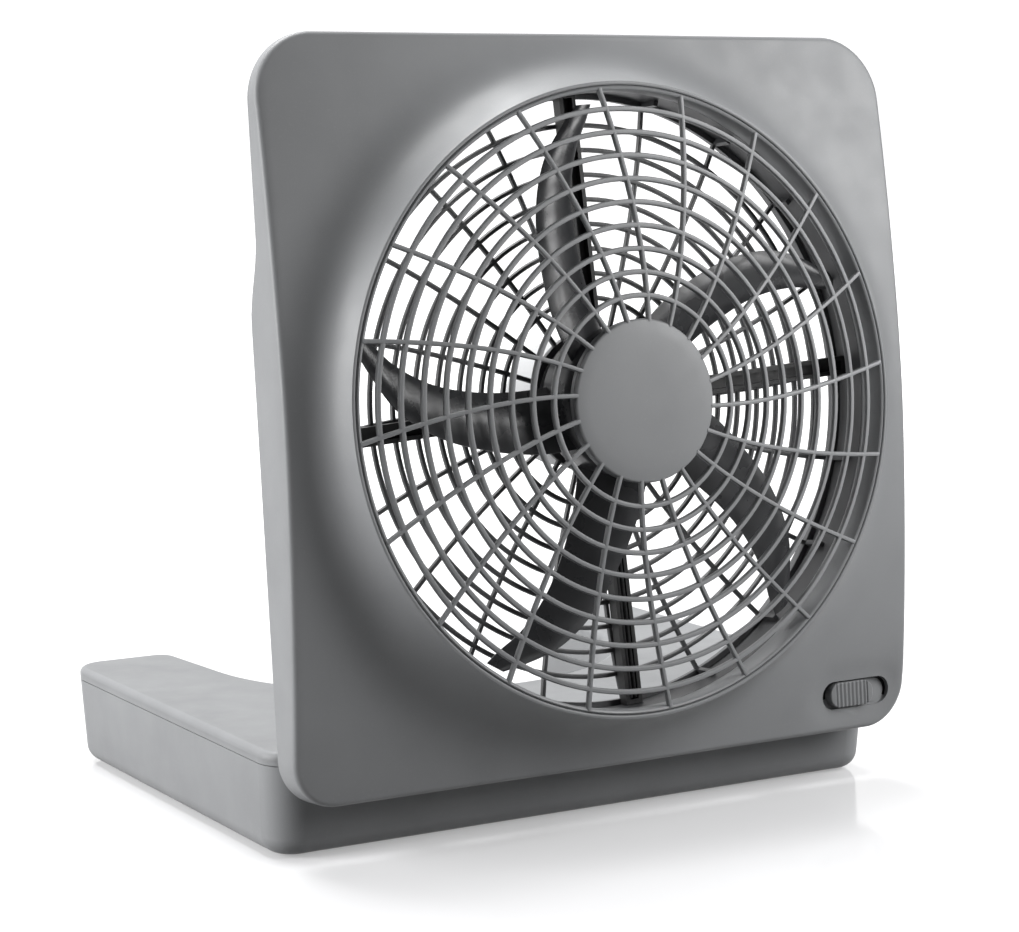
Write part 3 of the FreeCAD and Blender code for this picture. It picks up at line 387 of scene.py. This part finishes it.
def slot_distance(x, z):
    """Distance outside the switch slot."""
    half = (SLOT_LENGTH - SLOT_WIDTH) / 2
    dx = max(0.0, abs(x - SLOT_X) - half)
    return max(0.0, math.hypot(dx, z - SLOT_Z) - SLOT_WIDTH / 2)


def face_height(x, z):
    """The front surface: bowed face, trumpet-shaped flare and the dish round the switch."""
    radius = math.hypot(x, z)
    rise = math.exp(-max(0.0, radius - RIM_RADIUS) / FLARE_REACH)
    dish = DISH_DEPTH * (1 - smoothstep(0.0, DISH_REACH, slot_distance(x, z)))
    return bow(z) + (RIM_FRONT - bow(z)) * rise - dish


def back_height(z):
    """Where the stepped back edge of the side wall lies."""
    return -BACK_DEEP + (BACK_DEEP - BACK_SHALLOW) * smoothstep(STEP_LOW - 4, STEP_HIGH + 4, z)


def outline(inset):
    """Points of the head's rounded outline, moved in by an inset; the count doesn't depend on it."""
    points = []
    corners = [(1, 1, 0, HEAD_CORNER), (-1, 1, 90, HEAD_CORNER), (-1, -1, 180, LOW_CORNER),
               (1, -1, 270, LOW_CORNER)]
    arcs = []
    for right, up, start, radius in corners:
        cx = right * (HEAD_HALF_WIDTH - radius)
        cz = HEAD_HIGH - radius if up > 0 else HEAD_LOW + radius
        arcs.append(arc_points(cx, cz, radius - inset, start, start + 90, CORNER_STEPS))
    count = int(2 * (HEAD_HALF_WIDTH - HEAD_CORNER) / SIDE_SPACING)
    for corner, following in zip(arcs, arcs[1:] + arcs[:1]):
        points.extend(corner)
        for k in range(1, count):
            share = k / count
            points.append((corner[-1][0] + (following[0][0] - corner[-1][0]) * share,
                           corner[-1][1] + (following[0][1] - corner[-1][1]) * share))
    return points


def panel_section(edge, inner, soft):
    """One closed slice of the shell, from the rim out over the face, down the side and back inside."""
    angle = math.atan2(edge[1], edge[0])
    cos, sin = math.cos(angle), math.sin(angle)
    section = [(BORE_RADIUS * cos, BORE_RADIUS * sin, SPLIT_FRONT + 0.1),
               (BORE_RADIUS * cos, BORE_RADIUS * sin, 22.0)]
    for radius, w in ((BORE_RADIUS + 0.02, 26.9), (BORE_RADIUS + 0.2, 27.3), (BORE_RADIUS + 0.55, 27.5),
                      (RIM_RADIUS - 0.5, 27.5)):
        section.append((radius * cos, radius * sin, w))
    start = (RIM_RADIUS * cos, RIM_RADIUS * sin)
    face = []
    for i in range(FACE_STATIONS + 1):
        share = (i / FACE_STATIONS) ** 1.8
        face.append((start[0] + (soft[0] - start[0]) * share, start[1] + (soft[1] - start[1]) * share))
    for i, (x, z) in enumerate(face):
        section.append((x, z, face_height(x, z) - (0.12 if i == 0 else 0.0)))
    for i in range(1, EDGE_STEPS + 1):
        turn = math.pi / 2 * i / EDGE_STEPS
        share = math.sin(turn)
        x = soft[0] + (edge[0] - soft[0]) * share
        z = soft[1] + (edge[1] - soft[1]) * share
        section.append((x, z, face_height(*soft) - EDGE_RADIUS * (1 - math.cos(turn))))
    top = face_height(*soft) - EDGE_RADIUS
    back = back_height(edge[1])
    for share in (0.25, 0.5, 0.75):
        section.append((edge[0], edge[1], top + (back - top) * share))
    for inset_share, w in ((0.0, back + 0.5), (0.18, back), (0.95, back)):
        section.append((edge[0] + (inner[0] - edge[0]) * inset_share,
                        edge[1] + (inner[1] - edge[1]) * inset_share, w))
    under = face_height(*inner) - WALL
    for share in (0.0, 0.3, 0.7, 1.0):
        section.append((inner[0], inner[1], back + 0.4 + (under - back - 0.4) * share))
    skirt = BORE_RADIUS + DUCT_WALL
    for i in range(UNDER_STATIONS):
        share = (1 - i / UNDER_STATIONS) ** 1.8
        if share > 0.97:
            continue
        x = skirt * cos + (inner[0] - skirt * cos) * share
        z = skirt * sin + (inner[1] - skirt * sin) * share
        fade = math.exp(-max(0.0, math.hypot(x, z) - RIM_RADIUS) / FLARE_REACH)
        slope = (RIM_FRONT - bow(z)) / FLARE_REACH * fade
        section.append((x, z, face_height(x, z) - WALL * math.sqrt(1 + slope * slope)))
    section.append((skirt * cos, skirt * sin, 15.0))
    section.append((skirt * cos, skirt * sin, SPLIT_FRONT + 0.1))
    return [head_point(x, z, w) for x, z, w in section]


SIDE_SPACING = 4.0
CORNER_STEPS = 22
FACE_STATIONS = 34
UNDER_STATIONS = 14
EDGE_STEPS = 6


def front_panel():
    edges = outline(0.0)
    inners = outline(WALL)
    softs = outline(EDGE_RADIUS)
    build = Builder()
    build.grid([panel_section(e, i, s) for e, i, s in zip(edges, inners, softs)],
               close_rows=True, close_columns=True)
    panel = add_mesh("front_panel_skin", build, "panel_grey", "head", "front_panel")
    cut_slot(panel)
    return panel


SLOT_STEPS = 18


def stadium_outline(x, z, length, width):
    """Points round a slot shape."""
    half = (length - width) / 2
    points = arc_points(x + half, z, width / 2, -90, 90, SLOT_STEPS)
    points += arc_points(x - half, z, width / 2, 90, 270, SLOT_STEPS)
    return points


def cut_slot(panel):
    """Cut the switch slot through the panel's face."""
    ring = stadium_outline(SLOT_X, SLOT_Z, SLOT_LENGTH, SLOT_WIDTH)
    build = Builder()
    rows = [[head_point(x, z, w) for x, z in ring] for w in SLOT_CUT]
    build.grid(rows, close_columns=True)
    for row, order in ((rows[0], -1), (rows[1], 1)):
        centre = sum(row, Vector()) / len(row)
        build.fan(row[::order], centre)
    mesh = bpy.data.meshes.new("slot_cutter")
    mesh.from_pydata([tuple(v) for v in build.verts], [], build.faces)
    cutter = bpy.data.objects.new("slot_cutter", mesh)
    bpy.context.scene.collection.objects.link(cutter)
    edit = bmesh.new()
    edit.from_mesh(mesh)
    bmesh.ops.remove_doubles(edit, verts=edit.verts, dist=1e-6)
    bmesh.ops.recalc_face_normals(edit, faces=edit.faces)
    edit.to_mesh(mesh)
    edit.free()
    cut = panel.modifiers.new("slot", "BOOLEAN")
    cut.operation = "DIFFERENCE"
    cut.object = cutter
    cut.solver = "EXACT"
    apply_modifiers(panel)
    bpy.data.objects.remove(cutter)
    shade_smooth(panel.data, 40)


def apply_modifiers(piece):
    """Bake a piece's modifiers into its mesh."""
    graph = bpy.context.evaluated_depsgraph_get()
    mesh = bpy.data.meshes.new_from_object(piece.evaluated_get(graph))
    piece.modifiers.clear()
    piece.data = mesh


# ---------------------------------------------------------------- grilles

CAP_RADIUS = 34.0
DOME_FRONT = 36.0
DOME_RISE = 8.5
GRILLE_RINGS = 9
SPOKES = 20
BAR_WIDTH = 2.3
BAR_DEPTH = 3.0
SPOKE_WIDTH = 2.0
SPOKE_TURNS = (-6.8, -0.5, 4.3)
SPOKE_STEPS = 28
RING_STEPS = 144
BAND_BACK = 19.0
SEAT_BACK = 30.0
SEAT_FRONT = 32.8
CAP_BACK = 33.0
AXIS_UP = FAN_AXIS


def dome_height(radius):
    """Front of the domed guard."""
    sphere = (RIM_RADIUS ** 2 + DOME_RISE ** 2) / (2 * DOME_RISE)
    return DOME_FRONT - (sphere - math.sqrt(sphere ** 2 - radius ** 2))


def spoke_turn(share, turns):
    """Angle of a spoke at a share of the way out, through its three stations."""
    first, middle, last = turns
    return (first * (1 - share) * (1 - 2 * share) + middle * 4 * share * (1 - share)
            + last * share * (2 * share - 1))


def ring_points(radius, w, steps):
    angles = [2 * math.pi * i / steps for i in range(steps)]
    return [head_point(radius * math.cos(angle), radius * math.sin(angle), w) for angle in angles]


def front_grille():
    """Rings and swept spokes of rounded section, a rim band and the seat of the cap."""
    build = Builder()
    rim = BORE_RADIUS - 0.1
    pitch = (rim - CAP_RADIUS) / (GRILLE_RINGS + 1)
    for i in range(GRILLE_RINGS):
        radius = CAP_RADIUS + pitch * (i + 1)
        points = ring_points(radius, dome_height(radius) - BAR_DEPTH / 2, RING_STEPS)
        build.sweep(points, [AXIS_UP] * len(points), BAR_WIDTH, BAR_DEPTH, closed=True)
    for i in range(SPOKES):
        points = []
        for k in range(SPOKE_STEPS + 1):
            share = k / SPOKE_STEPS
            radius = CAP_RADIUS - 1 + (rim - CAP_RADIUS) * share
            angle = math.radians(spoke_turn(share, SPOKE_TURNS) + 360 / SPOKES * i)
            points.append(head_point(radius * math.cos(angle), radius * math.sin(angle),
                                     dome_height(radius) - BAR_DEPTH / 2 + 0.15))
        build.sweep(points, [AXIS_UP] * len(points), SPOKE_WIDTH, BAR_DEPTH - 0.2)
    build.lathe([(rim, BAND_BACK), (rim, RIM_FRONT - 0.9), (rim - 0.3, RIM_FRONT - 0.3),
                 (rim - 0.8, RIM_FRONT), (rim - 1.5, RIM_FRONT - 0.2), (rim - 1.9, RIM_FRONT - 0.7),
                 (rim - 2.0, BAND_BACK)], 240)
    seat = CAP_RADIUS - 0.1
    build.lathe([(CAP_RADIUS - 8, SEAT_BACK), (seat - 0.5, SEAT_BACK), (seat, SEAT_BACK + 0.4),
                 (seat, SEAT_FRONT), (CAP_RADIUS - 8, SEAT_FRONT)], 120)
    add_mesh("front_grille_bars", build, "grille_grey", "head", "front_grille")


def centre_cap():
    """Plain satin cap with a soft edge and a shadow gap round it."""
    profile = [(0.01, CAP_BACK), (CAP_RADIUS - 0.5, CAP_BACK), (CAP_RADIUS, CAP_BACK + 0.4),
               (CAP_RADIUS, DOME_FRONT - 1.9)]
    profile += [(CAP_RADIUS - 1.2 + x, DOME_FRONT - 1.95 + y) for x, y in arc_points(0, 0, 1.2, 0, 84, 6)]
    for share in (0.8, 0.6, 0.4, 0.2, 0.1, 0.045, 0.018, 0.006, 0.0004):
        radius = CAP_RADIUS * share
        profile.append((radius, dome_height(radius) - 0.15))
    build = Builder()
    build.lathe(profile, 144, centre=True)
    add_mesh("centre_cap_disc", build, "panel_grey", "head", "centre_cap")


REAR_RING_FIRST = 117.3
REAR_RING_PITCH = 10.42
REAR_RINGS = 8
REAR_FRONT = -5.2
REAR_DEPTH = 2.6
REAR_WIDTH = 2.1
REAR_RING_STEPS = 132
REAR_SPOKE_STEPS = 8
POST_TURN = 21.4
REAR_TURNS = (-4.6, -2.8, 0.0)
COVER_RADIUS = 27.3


def rear_grille():
    """Flat guard behind the blades."""
    build = Builder()
    rim = BORE_RADIUS - 0.1
    level = REAR_FRONT - REAR_DEPTH / 2
    for i in range(REAR_RINGS):
        points = ring_points(REAR_RING_FIRST - REAR_RING_PITCH * i, level, REAR_RING_STEPS)
        build.sweep(points, [AXIS_UP] * len(points), REAR_WIDTH, REAR_DEPTH, closed=True)
    hub = COVER_RADIUS + 1.7
    for i in range(SPOKES):
        points = []
        for k in range(REAR_SPOKE_STEPS + 1):
            share = k / REAR_SPOKE_STEPS
            radius = hub + (rim - 0.5 - hub) * share
            angle = math.radians(spoke_turn(share, REAR_TURNS) + POST_TURN + 360 / SPOKES * i)
            points.append(head_point(radius * math.cos(angle), radius * math.sin(angle), level))
        build.sweep(points, [AXIS_UP] * len(points), REAR_WIDTH, REAR_DEPTH - 0.2)
    back = REAR_FRONT - REAR_DEPTH
    build.lathe([(rim - 2.4, back + 0.2), (rim - 2.2, back), (rim, back), (rim, REAR_FRONT),
                 (rim - 2.2, REAR_FRONT), (rim - 2.4, REAR_FRONT - 0.2)], 200)
    build.lathe([(hub - 1.4, back), (hub + 1.3, back), (hub + 1.5, back + 0.3),
                 (hub + 1.5, REAR_FRONT - 0.3), (hub + 1.3, REAR_FRONT), (hub - 1.4, REAR_FRONT)], 96)
    add_mesh("rear_grille_bars", build, "dark_grey", "head", "rear_grille")


# ---------------------------------------------------------------- impeller

HUB_RADIUS = 31.0
HUB_FRONT = 22.5
HUB_BACK = 3.4
SHAFT_RADIUS = 1.6
TIP_RADIUS = 124.6
BLADES = 5
BLADE_TURN = 94.0
BLADE_PLANE = 12.5
BLADE_ROOT_SINK = 5.0
BLADE_CAMBER = 0.07
BLADE_THICKNESS = 1.9
# share of the way from root to tip, chord, pitch angle, sweep angle
BLADE_SECTIONS = (
    (0.0, 30.0, 28.0, 25.5), (0.18, 28.5, 22.0, 22.5), (0.40, 25.5, 18.0, 18.0),
    (0.60, 23.0, 16.0, 13.8), (0.80, 19.0, 13.0, 8.0), (0.93, 13.0, 12.0, 2.6), (1.0, 8.0, 11.0, 0.0),
)
BLADE_STEPS = 36
CHORD_STEPS = 10


def blade_shape(share):
    """Chord, pitch and sweep at one share of the blade, smooth between the sections."""
    last = len(BLADE_SECTIONS) - 1
    k = 0
    while k < last - 1 and share > BLADE_SECTIONS[k + 1][0]:
        k += 1
    one, two = BLADE_SECTIONS[k], BLADE_SECTIONS[k + 1]
    before = BLADE_SECTIONS[max(0, k - 1)]
    after = BLADE_SECTIONS[min(last, k + 2)]
    span = two[0] - one[0]
    t = (share - one[0]) / span
    result = []
    for j in (1, 2, 3):
        slope_one = (two[j] - before[j]) / (two[0] - before[0]) * span
        slope_two = (after[j] - one[j]) / (after[0] - one[0]) * span
        result.append((2 * t ** 3 - 3 * t ** 2 + 1) * one[j] + (t ** 3 - 2 * t ** 2 + t) * slope_one
                      + (3 * t ** 2 - 2 * t ** 3) * two[j] + (t ** 3 - t ** 2) * slope_two)
    return result


def blade_row(share, turn):
    """The closed cambered outline of one blade at one share of the way out."""
    chord, pitch, sweep = blade_shape(share)
    root = HUB_RADIUS - BLADE_ROOT_SINK
    radius = root + (TIP_RADIUS - 0.3 - root) * share
    rise = math.radians(pitch)
    middle = math.radians(sweep + turn)
    row = []
    for side in (1, -1):
        for i in range(CHORD_STEPS + 1):
            along = i / CHORD_STEPS if side > 0 else 1 - i / CHORD_STEPS
            hump = 4 * along * (1 - along)
            across = (along - 0.5) * chord
            lift = BLADE_CAMBER * chord * hump + side * BLADE_THICKNESS / 2 * (0.3 + 0.7 * math.sqrt(hump))
            flat = across * math.cos(rise) - lift * math.sin(rise)
            up = across * math.sin(rise) + lift * math.cos(rise)
            row.append(head_point(math.cos(middle) * radius - math.sin(middle) * flat,
                                  math.sin(middle) * radius + math.cos(middle) * flat, BLADE_PLANE + up))
    return row


def impeller():
    """Cup-shaped hub with five narrow swept blades."""
    build = Builder()
    build.lathe([(SHAFT_RADIUS, HUB_FRONT), (HUB_RADIUS - 3.6, HUB_FRONT),
                 (HUB_RADIUS - 2.2, HUB_FRONT - 0.3), (HUB_RADIUS - 0.8, HUB_FRONT - 1.2),
                 (HUB_RADIUS - 0.1, HUB_FRONT - 2.8),
                 (HUB_RADIUS, HUB_FRONT - 4.2), (HUB_RADIUS, HUB_BACK), (HUB_RADIUS - 2, HUB_BACK),
                 (HUB_RADIUS - 2, HUB_FRONT - 4), (5.5, HUB_FRONT - 4), (5.5, HUB_FRONT - 14),
                 (SHAFT_RADIUS, HUB_FRONT - 14)], 96)
    for i in range(BLADES):
        turn = BLADE_TURN + 360 / BLADES * i
        rows = [blade_row(k / BLADE_STEPS, turn) for k in range(BLADE_STEPS + 1)]
        build.grid(rows, close_columns=True)
        for row, order in ((rows[0], -1), (rows[-1], 1)):
            build.fan(row[::order], sum(row, Vector()) / len(row))
    add_mesh("impeller_blades", build, "blade_grey", "rotor", "impeller")


# ---------------------------------------------------------------- switch knob

KNOB_LENGTH = 24.0
KNOB_WIDTH = 11.2
KNOB_TRAVEL = 6.6
KNOB_TOP = 2.9
KNOB_FOOT = -1.3
KNOB_ROUND = 0.7
KNOB_RIBS = 8
RIB_SPAN = 17.6
RIB_DEPTH = 0.55
KNOB_STEPS = 120
PLATE_BACK = -2.35
STEM_HALF = 2.3
STEM_BACK = -6.9
KNOB_SMOOTH_ANGLE = 50


def knob_top(along):
    """Height of the grip at a distance from its middle: ribs between rounded ends."""
    reach = RIB_SPAN / 2
    wave = 0.5 - 0.5 * math.cos(2 * math.pi * (along + reach) / (RIB_SPAN / KNOB_RIBS))
    fade = 1 - smoothstep(reach - 0.2, reach + 0.2, abs(along))
    return KNOB_TOP - RIB_DEPTH * (1 - wave) * fade


def knob_half(along, half_length, half_width):
    """Half width of a slot shape at a distance from its middle."""
    over = max(0.0, abs(along) - (half_length - half_width))
    return math.sqrt(max(0.0, half_width ** 2 - over ** 2))


def knob():
    """Ribbed grip in the slot, the plate that covers the slot behind it, and the stem to the switch."""
    middle = SLOT_X - KNOB_TRAVEL / 2
    build = Builder()
    rows = []
    for i in range(KNOB_STEPS + 1):
        along = -KNOB_LENGTH / 2 * math.cos(math.pi * i / KNOB_STEPS) * 0.999
        half = max(0.05, knob_half(along, KNOB_LENGTH / 2, KNOB_WIDTH / 2))
        end = KNOB_LENGTH / 2 - abs(along)
        top = knob_top(along) - KNOB_ROUND * (1 - min(1.0, end / KNOB_ROUND)) ** 2
        soft = min(KNOB_ROUND, half * 0.8)
        row = [(half, KNOB_FOOT), (half, top - soft)]
        row += [(half - soft + a, top - soft + b) for a, b in arc_points(0, 0, soft, 18, 90, 4)]
        row += [(-z, w) for z, w in row[::-1]]
        rows.append([head_point(middle + along, SLOT_Z + z, w) for z, w in row])
    build.grid(rows, close_columns=True)
    build.fan(rows[0][::-1], sum(rows[0], Vector()) / len(rows[0]))
    build.fan(rows[-1], sum(rows[-1], Vector()) / len(rows[-1]))
    left = middle - KNOB_LENGTH / 2
    right = HEAD_HALF_WIDTH - WALL - KNOB_TRAVEL - 1.0
    ring = stadium_outline((left + right) / 2 + 0.2, SLOT_Z, right - left - 0.6, 10.8)
    rows = [[head_point(x, z, w) for x, z in ring] for w in (KNOB_FOOT - 0.05, PLATE_BACK)]
    build.grid(rows, close_columns=True)
    for row, order in ((rows[0], -1), (rows[1], 1)):
        build.fan(row[::order], sum(row, Vector()) / len(row))
    stem = [(STEM_HALF * a, STEM_HALF * 0.65 * b) for a, b in ((1, 1), (-1, 1), (-1, -1), (1, -1))]
    rows = [[head_point(middle + x, SLOT_Z + z, w) for x, z in stem]
            for w in (PLATE_BACK - 0.02, STEM_BACK)]
    build.grid(rows, close_columns=True)
    build.fan(rows[1], sum(rows[1], Vector()) / len(rows[1]))
    build.fan(rows[0][::-1], sum(rows[0], Vector()) / len(rows[0]))
    add_mesh("switch_knob_grip", build, "knob_grey", "knob", "switch_knob", KNOB_SMOOTH_ANGLE)


# ---------------------------------------------------------------- stage, camera and light


# metres
STAGE_HALF = 4.0
STAGE_FRONT = -3.0
STAGE_BEND = 1.6
STAGE_CURVE = 0.9
STAGE_HIGH = 4.0
FLOOR_GLOW = 0.3
BACKDROP_GLOW = 1.0


def stage():
    """Glossy white table that runs up into a white backdrop."""
    rows = []
    for x in (-STAGE_HALF, STAGE_HALF):
        row = [Vector((x, STAGE_FRONT, 0.0)), Vector((x, STAGE_BEND, 0.0))]
        row += [Vector((x, y, z)) for y, z in arc_points(STAGE_BEND, STAGE_CURVE, STAGE_CURVE, -80, 0, 10)]
        row.append(Vector((x, STAGE_BEND + STAGE_CURVE, STAGE_HIGH)))
        rows.append(row)
    build = Builder()
    build.grid(rows)
    mesh = bpy.data.meshes.new("studio_sweep")
    mesh.from_pydata([tuple(v) for v in build.verts], [], build.faces)
    sweep = bpy.data.objects.new("studio_sweep", mesh)
    bpy.context.scene.collection.objects.link(sweep)
    for polygon in mesh.polygons:
        polygon.use_smooth = True
    material, tree, shader = new_material("white_table")
    shader.inputs["Base Color"].default_value = (0.66, 0.66, 0.67, 1.0)
    shader.inputs["Roughness"].default_value = 0.12
    shader.inputs["Emission Color"].default_value = (1.0, 1.0, 1.0, 1.0)
    place = tree.nodes.new("ShaderNodeSeparateXYZ")
    tree.links.new(tree.nodes.new("ShaderNodeNewGeometry").outputs["Position"], place.inputs["Vector"])
    glow = mapped(tree, place.outputs["Y"], 0.3, 1.0, FLOOR_GLOW, BACKDROP_GLOW)
    tree.links.new(glow, shader.inputs["Emission Strength"])
    mesh.materials.append(material)
    sweep.visible_diffuse = False


def area_light(name, place, target, size, power):
    data = bpy.data.lights.new(name, "AREA")
    data.shape = "RECTANGLE"
    data.size, data.size_y = size
    data.energy = power
    lamp = bpy.data.objects.new(name, data)
    lamp.location = place
    lamp.rotation_euler = (Vector(target) - Vector(place)).to_track_quat("-Z", "Y").to_euler()
    bpy.context.scene.collection.objects.link(lamp)


# place, target, width and height in metres, and power in watts
SOFTBOXES = {
    "left_softbox": ((-1.7, 0.25, 0.6), (0, 0, 0.15), (1.0, 1.4), 44),
    "right_softbox": ((0.45, -0.5, 0.42), (0.1, -0.1, 0.16), (0.3, 0.45), 4.2),
    "overhead": ((-0.1, 0.5, 1.6), (0, 0, 0.1), (1.0, 1.0), 33),
}
WORLD_GLOW = 0.1


def lights():
    """Three softboxes and a faint even world."""
    for name, (place, target, size, power) in SOFTBOXES.items():
        area_light(name, place, target, size, power)
    world = bpy.data.worlds.new("studio")
    world.use_nodes = True
    background = world.node_tree.nodes["Background"]
    background.inputs["Color"].default_value = (1.0, 1.0, 1.0, 1.0)
    background.inputs["Strength"].default_value = WORLD_GLOW
    bpy.context.scene.world = world


CAMERA_PLACE = Vector((-0.6102, -1.0439, 0.3020))
CAMERA_YAW = 30.748
CAMERA_PITCH = 8.065
CAMERA_ROLL = -0.264
CAMERA_LENS = 94.61
CAMERA_SHIFT = (-0.0026, 0.027)


def camera():
    yaw, pitch, roll = (math.radians(a) for a in (CAMERA_YAW, CAMERA_PITCH, CAMERA_ROLL))
    ahead = Vector((math.sin(yaw) * math.cos(pitch), math.cos(yaw) * math.cos(pitch), -math.sin(pitch)))
    right = Vector((math.cos(yaw), -math.sin(yaw), 0.0))
    up = right.cross(ahead)
    turned_right = right * math.cos(roll) + up * math.sin(roll)
    turned_up = up * math.cos(roll) - right * math.sin(roll)
    data = bpy.data.cameras.new("studio_camera")
    data.sensor_width = 36.0
    data.lens = CAMERA_LENS
    data.shift_x, data.shift_y = CAMERA_SHIFT
    data.clip_start = 0.05
    data.clip_end = 50.0
    eye = bpy.data.objects.new("studio_camera", data)
    columns = Matrix((turned_right, turned_up, -ahead)).transposed().to_4x4()
    eye.matrix_world = Matrix.Translation(CAMERA_PLACE) @ columns
    bpy.context.scene.collection.objects.link(eye)
    bpy.context.scene.camera = eye
    bpy.context.scene.view_settings.view_transform = "Standard"


# ---------------------------------------------------------------- build

SOFT_EDGES = {
    "rear_housing": 0.35, "motor_bracket": 0.4, "base_top_shell": 0.3, "base_bottom_tray": 0.3,
    "hinge_arm_left": 0.5, "hinge_arm_right": 0.5, "battery_door_left": 0.4, "battery_door_right": 0.4,
    "motor_cover": 0.3,
}
dress_nodes()
for node_name, bevel_width in SOFT_EDGES.items():
    soften_node(node_name, bevel_width)
front_panel()
front_grille()
centre_cap()
rear_grille()
impeller()
knob()
stage()
camera()
lights()
